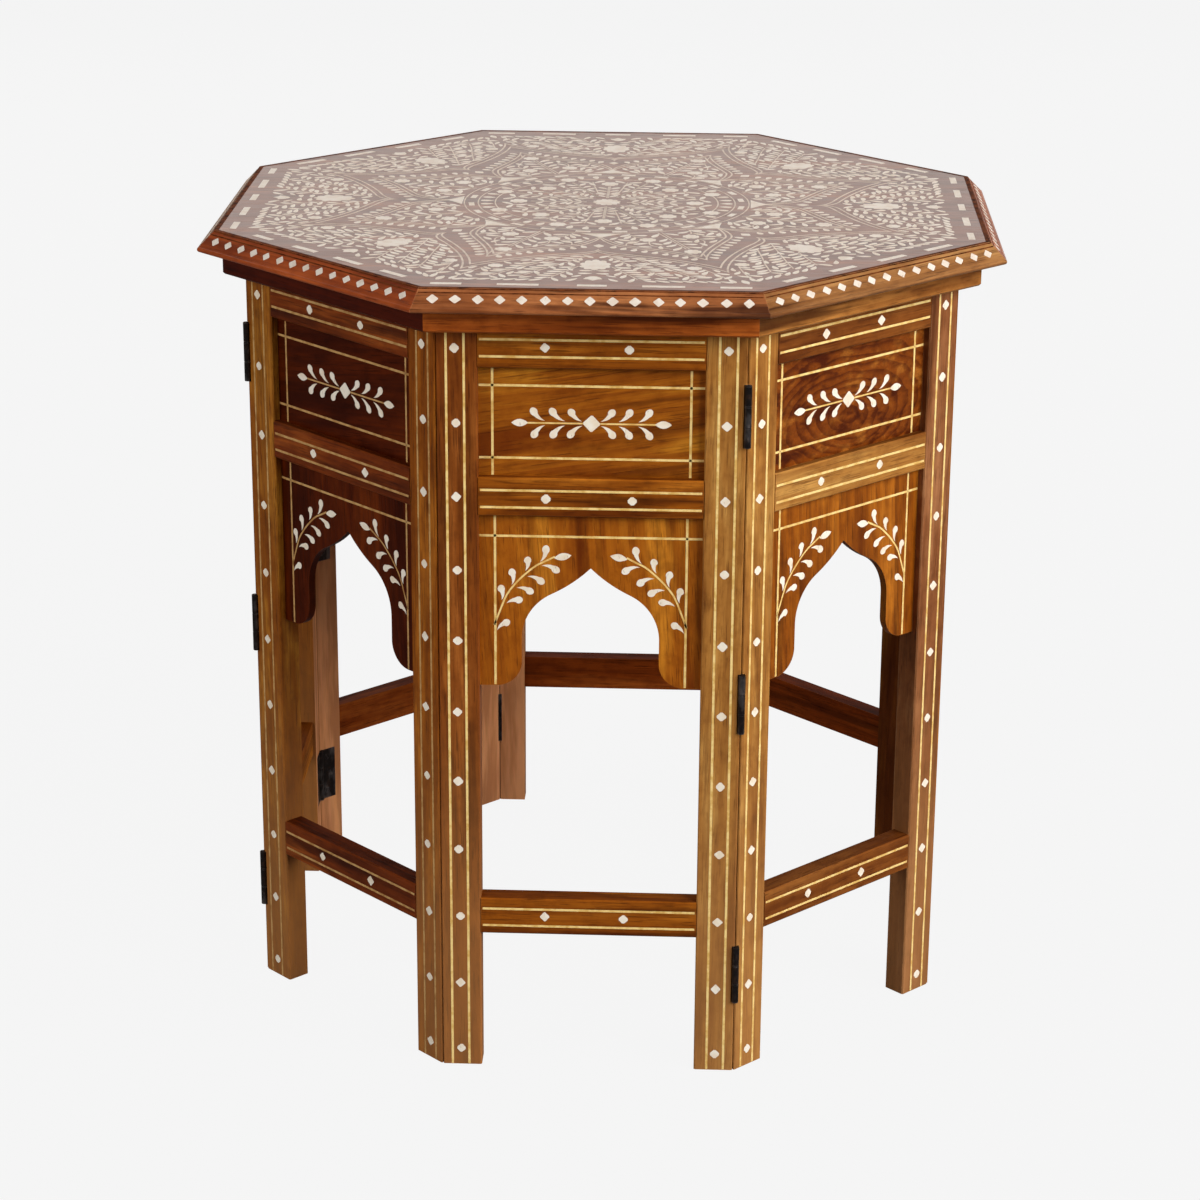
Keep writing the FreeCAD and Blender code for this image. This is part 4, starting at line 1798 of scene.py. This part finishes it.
    def _teeth(self) -> list[Leaf]:
        """Row of drops between the two lines of the star, for one half sector.

        Returns:
            The drops.
        """
        base = self._half_line(self.inner_spans)
        teeth: list[Leaf] = []
        since = self.tooth_pitch * self.tooth_start
        for start, end in zip(base, base[1:]):
            heading = heading_of(start, end)
            span = math.dist(start, end)
            while since <= span:
                root = turned((since, self.tooth_lift), heading, start)
                if root[0] > self.first_tooth:
                    angle = min(heading + math.pi / 2, self.greatest_tooth_angle)
                    teeth.append(Leaf(root, angle, *self.tooth_size))
                since += self.tooth_pitch
            since -= span
        return teeth

    def _star_and_ring(self) -> InlayDrawing:
        """Bone of the star's edge and of the ring about the medallion.

        Returns:
            The drawing.
        """
        drawing = InlayDrawing(self._plane)
        teeth = self._teeth()
        for pen in self.halves:
            drawing.pen = pen
            for tooth in teeth:
                drawing.outline(tooth.points())
        for index in range(self.ring_bars):
            drawing.pen = Matrix.Rotation(math.tau * (index + 0.5) / self.ring_bars, 4, "Z")
            drawing.level(self.ring_bar_half, self.ring_bar_reach, self.ring_bar_width)
        drops_a_side = self.ring_drops // SIDES
        for index in range(self.ring_drops):
            drawing.pen = Matrix.Rotation(math.tau * index / self.ring_drops, 4, "Z")
            at_corner = index % drops_a_side == drops_a_side // 2
            drawing.outline(scalloped(*self.ring_flower) if at_corner else self.ring_drop.points())
        for side in PanelSide:
            drawing.pen = side.turn
            drawing.outline(self.palmette)
            drawing.diamond(*self.cusp_diamond)
        return drawing

    def _outer_bed(self) -> LeafBed:
        """Foliage between the star and the border.

        Returns:
            The bed.
        """
        star, edge, overlap = self._half_line(self.star_spans), self.foliage_edge, self.axis_overlap
        corner = corner_point(edge / math.cos(HALF_STEP))
        border = [(-overlap, star[0][1]), *star[1:], corner, (-overlap, edge)]
        first = [Leaf((self.axis_leaf_aside, reach), angle=0.3, length=8.2, width=3.4, curl=-0.5)
                 for reach in self.axis_leaves]
        for index in range(self.edge_leaves):
            tail = (self.edge_leaf_start + self.edge_leaf_pitch * index,
                    edge - self.edge_leaf_inset)
            first.append(Leaf(tail, angle=0.5, length=9.6, width=3.3, curl=-0.15))
        bed = LeafBed(border, margin=1.1, seed=11)
        return bed.plant(self.outer_clear, self.outer_stems, self.outer_tries, first)

    def _star_bed(self) -> LeafBed:
        """Foliage in the points of the star.

        Returns:
            The bed.
        """
        inner = self._inset(self._half_line(self.inner_spans), self.inner_gap)
        x, y = corner_point(inner[-1][1] / math.cos(HALF_STEP))
        border = [*inner[:-1], (x + self.axis_overlap, y), *arc(self.ring_edge, self.star_arc),
                  *self.star_foot]
        bed = LeafBed(border, margin=0.9, seed=23)
        return bed.plant(self.star_clear, self.star_stems, self.star_tries)

    def _medallion_bed(self) -> LeafBed:
        """Foliage of the medallion in the middle.

        Returns:
            The bed.
        """
        edge, overlap = self.medallion_edge, self.axis_overlap
        rim = [(x + overlap, y) for x, y in arc(edge, self.medallion_arc)]
        start, end = (-overlap, self.medallion_start), (-overlap, edge)
        border = [start, self.medallion_shoulder, *rim, end]
        bed = LeafBed(border, margin=0.5, seed=31)
        return bed.plant(self.medallion_clear, self.medallion_stems, self.medallion_tries)

    def _foliage(self, bed: LeafBed, seed: int) -> tuple[InlayDrawing, InlayDrawing]:
        """Draw a bed's leaves and stems in all sixteen half sectors.

        Args:
            bed: The bed.
            seed: Start of the small unevenness of handwork.

        Returns:
            The leaves and the stems.
        """
        leaves = InlayDrawing(self._plane)
        stems = InlayDrawing(self._plane, InlayDrawing.STEM_PROUD)
        hand = Handwork(seed)
        for pen in self.halves:
            leaves.pen = stems.pen = pen
            for leaf in bed.leaves:
                size = hand.uniform(*self.leaf_spread)
                x, y = (place + hand.stray(self.leaf_stray) for place in leaf.tail)
                angle = leaf.angle + hand.stray(self.leaf_turn)
                length, width = leaf.length * size, leaf.width * size
                leaves.outline(Leaf((x, y), angle, length, width, leaf.curl).points())
            for stem in bed.stems:
                stems.ribbon(stem, self.stem_width)
        return leaves, stems

    def _bloom(self) -> list[Point]:
        """Large flower on a side's axis, drawn out towards the middle of the top.

        Returns:
            Its outline in order.
        """
        inward, outward = self.bloom_stretch
        head = scalloped(CENTRE, self.bloom_width, self.bloom_petals)
        return [(x, self.bloom_reach + y * (inward if y < 0 else outward)) for x, y in head]

    def _flowers(self) -> InlayDrawing:
        """Rosettes, blooms and buds.

        Returns:
            The drawing.
        """
        drawing = InlayDrawing(self._plane)
        drawing.outline(scalloped(CENTRE, self.rosette_width, self.rosette_petals))
        on_axes = (scalloped(*self.medallion_flower), scalloped(*self.point_flower), self._bloom(),
                   self.bud)
        for pen in self._sectors:
            drawing.pen = pen
            for flower in on_axes:
                drawing.outline(flower)
        for pen in self.halves:
            drawing.pen = pen
            for flower in (self.outer_flower, self.star_flower):
                drawing.outline(scalloped(*flower))
        return drawing

    def _bevels(self) -> list[InlayDrawing]:
        """Drawings on the eight bevels of the moulding, with their origins mid-slope.

        Returns:
            One drawing for each side.
        """
        (crest, crest_height), (brow, brow_height) = self.bevel_crest, self.bevel_brow
        slope = math.atan2(crest_height - brow_height, brow - crest)
        middle = Vector((0.0, -(crest + brow) / 2, (crest_height + brow_height) / 2))
        lie = Matrix.Translation(middle) @ Matrix.Rotation(slope, 4, "X")
        return [InlayDrawing(side.turn @ lie) for side in PanelSide]

    def _joint_and_shade(self) -> list[Shape]:
        """Dark band where the board meets its moulding, partly a waxed joint and partly painted
        shade, and painted shadow lines just below the bevel's crest.

        Returns:
            One shape for the field and one for each side of the bevel.
        """
        flat = InlayDrawing(self._plane)
        reach = (self.field_edge - self.joint_inset) / math.cos(HALF_STEP)
        corners = [turned((reach, 0.0), STEP * (step + 0.5)) for step in range(SIDES)]
        flat.ribbon(corners, self.joint_width, closed=True)
        half = self.bevel_crest[0] * math.tan(HALF_STEP)
        crest_level = math.dist(self.bevel_crest, self.bevel_brow) / 2
        bevels = self._bevels()
        for drawing in bevels:
            for below_crest, width in self.crest_shadow_lines:
                drawing.level(half, crest_level - below_crest, width)
        return [drawing.finish() for drawing in (flat, *bevels)]

    def _edge(self) -> list[Shape]:
        """Diamonds along the bevel of the moulding.

        Returns:
            One shape for each side.
        """
        bevels = self._bevels()
        hand = Handwork(self.edge_seed)
        for drawing in bevels:
            for index in range(self.edge_diamonds):
                steps = index + 0.5 - self.edge_diamonds / 2
                x = steps * self.edge_pitch + hand.stray(self.edge_stray)
                across, along = (size * hand.uniform(*spread) for size, spread
                                 in zip(self.edge_diamond, self.edge_spreads))
                turn = hand.stray(self.edge_turn)
                drawing.diamond(x, self.edge_diamond_level, across, along, turn)
        return [drawing.finish() for drawing in bevels]

    def build(self, bone: Material, stringing: Material, wax_and_shade: Material) -> None:
        """Build all the inlay of the top.

        Args:
            bone: Finish of the bone.
            stringing: Finish of the lines and stems.
            wax_and_shade: Finish of the dark band round the field and of the lines below the
                bevel's crest, partly a waxed joint and partly painted shade.
        """
        beds = ((self._outer_bed(), 1), (self._star_bed(), 2), (self._medallion_bed(), 4))
        leaves, stems = zip(*(self._foliage(bed, seed) for bed, seed in beds))
        outer, star, medallion = leaves
        make_piece("top_star_lines", self._strings().finish(), self.body, stringing)
        make_piece("top_foliage_stems", join_shapes(drawing.finish() for drawing in stems),
                   self.body, stringing)
        for name, drawing in (
                ("top_border_bars", self._border()),
                ("top_star_teeth_and_ring", self._star_and_ring()), ("top_outer_foliage", outer),
                ("top_star_foliage", star), ("top_medallion_foliage", medallion),
                ("top_flowers", self._flowers())):
            make_piece(name, drawing.finish(), self.body, bone)
        make_piece("top_edge_diamonds", join_shapes(self._edge()), self.body, bone)
        # The joint band and the lines below the crest: partly a waxed joint, partly painted shade.
        make_piece("top_edge_joint_and_shade", join_shapes(self._joint_and_shade()), self.body, wax_and_shade)


def dress_node(name: str, material: Material) -> None:
    """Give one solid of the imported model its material.

    Args:
        name: Name of the node.
        material: Its finish.
    """
    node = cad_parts[name]
    if not node.material_slots:
        node.data.materials.append(material)
    for slot in node.material_slots:
        slot.material = material
    log.info("%s: dressed in %s", name, material.name)


@dataclass
class PanelWoods:
    """Timber of one panel's pieces. Places in a log are in metres."""

    side: PanelSide
    left_leg: WoodFinish = GOLDEN
    right_leg: WoodFinish = GOLDEN
    rails: WoodFinish = AMBER
    frieze: WoodFinish = FIGURED
    arch: WoodFinish = GLOWING
    frieze_run: GrainRun = GrainRun.LEVEL
    frieze_tilt: float = 8.0
    knot: Point = (-0.004, 0.412)
    knot_offset: float = 0.045
    knot_spread: float = 1.9
    face: float = 0.222
    bare: Colour = BARE_WOOD
    pale_rail: Optional[float] = None
    leg_tilt: float = 1.5
    arch_tilt: float = 4.0
    tilt_stray: float = 1.0
    log_stray: float = 3.0
    log_depth: Pair = (0.02, 0.06)
    log_rise: float = 0.3
    first_seed: int = 70

    def _cut(self, run: GrainRun, tilt: float, hand: Handwork,
             pale_rail: Optional[float]) -> TimberCut:
        """Choose where in its log a piece lies.

        Args:
            run: How its grain runs.
            tilt: Tilt of the grain.
            hand: Source of the differences between logs.
            pale_rail: Height of the one rail that is paler, in metres, where there is one.

        Returns:
            The cut.
        """
        shift = (hand.stray(self.log_stray), self.face + hand.uniform(*self.log_depth),
                 hand.stray(self.log_rise))
        spread = EVEN
        if run is GrainRun.KNOT:
            across, height = self.knot
            shift = (hand.stray(self.log_stray), self.knot_offset - across,
                     -height * self.knot_spread)
            spread = (1.0, 1.0, self.knot_spread)
        tilt += hand.stray(self.tilt_stray)
        return TimberCut(self.side, run, tilt, shift, spread=spread, pale_rail=pale_rail)

    def dress(self, effects: SharedEffects) -> None:
        """Give the panel's solids their timber.

        Args:
            effects: The shared node groups.
        """
        hand = Handwork(self.first_seed + self.side.value)
        pieces = (
            ("left_leg", self.left_leg, GrainRun.UPRIGHT, self.leg_tilt),
            ("right_leg", self.right_leg, GrainRun.UPRIGHT, -self.leg_tilt),
            ("rails", self.rails, GrainRun.LEVEL, 0.0),
            ("frieze_board", self.frieze, self.frieze_run, self.frieze_tilt),
            ("arch_board", self.arch, GrainRun.UPRIGHT, self.arch_tilt))
        for piece, finish, run, tilt in pieces:
            cut = self._cut(run, tilt, hand, self.pale_rail if piece == "rails" else None)
            bare = self.bare if piece.endswith("leg") else None
            name = f"{self.side.body}_{piece}"
            dress_node(name, finish.material(f"{name}_timber", cut, effects, bare))


@dataclass
class TopWoods:
    """Timber of the top board, its edge moulding and its skirt."""

    board: WoodFinish = TABLE_TOP
    board_cut: TimberCut = TimberCut(shift=(0.31, 0.05, -0.44))
    edge: WoodFinish = MOULDED
    edge_cut: TimberCut = TimberCut(shift=(3.9, 0.27, -0.47), mitred_ring=True)
    skirt: WoodFinish = SKIRTING
    skirt_cut: TimberCut = TimberCut(shift=(5.2, 0.26, -0.43), mitred_ring=True)

    def dress(self, effects: SharedEffects) -> None:
        """Give the top's solids their timber.

        Args:
            effects: The shared node groups.
        """
        for node, timber, finish, cut in (
                ("top_board", "top_board_timber", self.board, self.board_cut),
                ("top_edge_moulding", "top_edge_timber", self.edge, self.edge_cut),
                ("top_skirt", "top_skirt_timber", self.skirt, self.skirt_cut)):
            dress_node(node, finish.material(timber, cut, effects))


@dataclass(frozen=True)
class SoftBox:
    """One soft box. Places and sizes are in metres."""

    name: str
    place: Triple
    aim_height: float
    watts: float
    size: Pair
    tone: Triple = EVEN
    mirrored: bool = False

    def build(self) -> None:
        """Stand the box in its place, facing the table."""
        data = bpy.data.lights.new(self.name, "AREA")
        data.color = self.tone
        data.shape = "RECTANGLE"
        data.size, data.size_y = self.size
        data.energy = self.watts
        lamp = bpy.data.objects.new(self.name, data)
        lamp.location = self.place
        lamp.visible_camera = False
        lamp.visible_glossy = self.mirrored
        aim = Vector((0.0, 0.0, self.aim_height)) - Vector(self.place)
        lamp.rotation_euler = aim.to_track_quat("-Z", "Y").to_euler()
        bpy.context.scene.collection.objects.link(lamp)
        log.info("%s: %.0f W", self.name, self.watts)


@dataclass
class Studio:
    """Floor, soft light and camera. Places are in metres."""

    camera_place: Triple = (0.07358, -1.99119, 0.93455)
    yaw: float = -2.1917
    pitch: float = 19.3352
    roll: float = 0.3830
    lens: float = 93.788
    sensor: float = 36.0
    floor_reach: float = 40.0
    surround: float = 0.08
    backdrop: float = 0.913
    boxes: tuple[SoftBox, ...] = (
        SoftBox("key_box", (2.7, -1.8, 1.9), 0.35, 165.0, (3.0, 2.4)),
        SoftBox("back_box", (-0.3, 3.4, 1.7), 0.5, 44.0, (5.0, 2.6), (1.0, 0.93, 0.87),
                mirrored=True),
        SoftBox("fill_box", (-2.8, -1.8, 1.3), 0.3, 56.0, (2.0, 2.0)),
        SoftBox("overhead_box", (0.0, 0.5, 2.6), 0.5, 2.0, (2.0, 2.0), mirrored=True),
        SoftBox("left_rear_box", (-2.6, 2.0, 0.8), 0.3, 26.0, (1.5, 1.2)),
        SoftBox("right_rear_box", (2.6, 2.0, 0.8), 0.3, 26.0, (1.5, 1.2)))

    def _air(self) -> None:
        """Surround the table with a dim light that looks pale to the camera."""
        world = bpy.data.worlds.new("studio_air")
        world.use_nodes = True
        bench = Bench(world.node_tree)
        seen = bench.put("ShaderNodeLightPath").outputs["Is Camera Ray"]
        glow = bench.put("ShaderNodeMath",
                         {0: seen, 1: self.backdrop - self.surround, 2: self.surround},
                         operation="MULTIPLY_ADD")
        air = world.node_tree.nodes["Background"]
        bench.feed(air.inputs["Color"], WHITE)
        bench.feed(air.inputs["Strength"], glow.outputs[0])
        bpy.context.scene.world = world

    def _floor(self) -> None:
        """Lay the floor."""
        shape = bmesh.new()
        bmesh.ops.create_grid(shape, x_segments=4, y_segments=4, size=self.floor_reach)
        floor = link_mesh("studio_floor", shape, FloorFinish().material("studio_paper"))
        log.info("studio_floor: laid")

    def _camera(self) -> None:
        """Stand the camera where the photograph was taken from."""
        yaw, pitch, roll = (math.radians(angle) for angle in (self.yaw, self.pitch, self.roll))
        forward = Vector((math.sin(yaw) * math.cos(pitch), math.cos(yaw) * math.cos(pitch),
                          -math.sin(pitch)))
        level = Vector((math.cos(yaw), -math.sin(yaw), 0.0))
        upward = level.cross(forward)
        across = level * math.cos(roll) + upward * math.sin(roll)
        above = upward * math.cos(roll) - level * math.sin(roll)
        data = bpy.data.cameras.new("camera")
        data.sensor_width = self.sensor
        data.lens = self.lens
        camera = bpy.data.objects.new("camera", data)
        stand = Matrix((across, above, -forward)).transposed().to_4x4()
        stand.translation = self.camera_place
        camera.matrix_world = stand
        bpy.context.scene.collection.objects.link(camera)
        bpy.context.scene.camera = camera
        log.info("camera: %.1f mm lens", self.lens)

    def build(self) -> None:
        """Set up the surroundings, the floor, the lights and the camera."""
        bpy.context.scene.view_settings.view_transform = "Standard"
        self._air()
        self._floor()
        for box in self.boxes:
            box.build()
        self._camera()


PANEL_WOODS = (
    PanelWoods(PanelSide.FRONT, left_leg=CHESTNUT, right_leg=HONEY),
    PanelWoods(PanelSide.FRONT_RIGHT, left_leg=HONEY, right_leg=WORN, rails=HONEY, frieze=CURLED,
               arch=AMBER, frieze_run=GrainRun.KNOT, frieze_tilt=0.0, pale_rail=0.377),
    PanelWoods(PanelSide.RIGHT),
    # This panel's legs take the darkened bare tone on their inner faces: painted shade.
    PanelWoods(PanelSide.BACK_RIGHT, rails=RUSSET, bare=SHADED_WOOD),
    PanelWoods(PanelSide.BACK, rails=RUSSET, frieze=RUSSET),
    PanelWoods(PanelSide.BACK_LEFT, rails=RUSSET),
    PanelWoods(PanelSide.LEFT, arch=RUSSET),
    PanelWoods(PanelSide.FRONT_LEFT, right_leg=AMBER, rails=RUSSET, frieze=OXBLOOD, arch=OXBLOOD))


def main() -> None:
    """Build the table's visible pieces and the studio."""
    logging.basicConfig(level=logging.INFO, format="%(message)s")
    effects = SharedEffects()
    bone = BoneFinish().material("polished_bone")
    stringing = StringingFinish().material("pale_stringing")
    # The front left panel's stringing is the darker copy, which is painted shade.
    stain_and_shade = SHADED_STRINGING.material("painted_shade_stringing")
    iron = IronFinish().material("oiled_iron", effects)
    for woods in PANEL_WOODS:
        side = woods.side
        woods.dress(effects)
        PanelInlay(side).build(bone, stain_and_shade if side is PanelSide.FRONT_LEFT else stringing)
        PanelHinges(side).build(iron)
    TopWoods().dress(effects)
    cream = CREAM_STRINGING.material("cream_stringing")
    wax_and_shade = DARK_WAX_AND_SHADE.material("dark_wax_and_painted_shade")
    # The top's bone is the darker copy of the bone, which is painted shade.
    TopInlay().build(SHADED_TOP_BONE.material("shaded_top_bone"), cream, wax_and_shade)
    Studio().build()


if __name__ == "__main__":
    main()
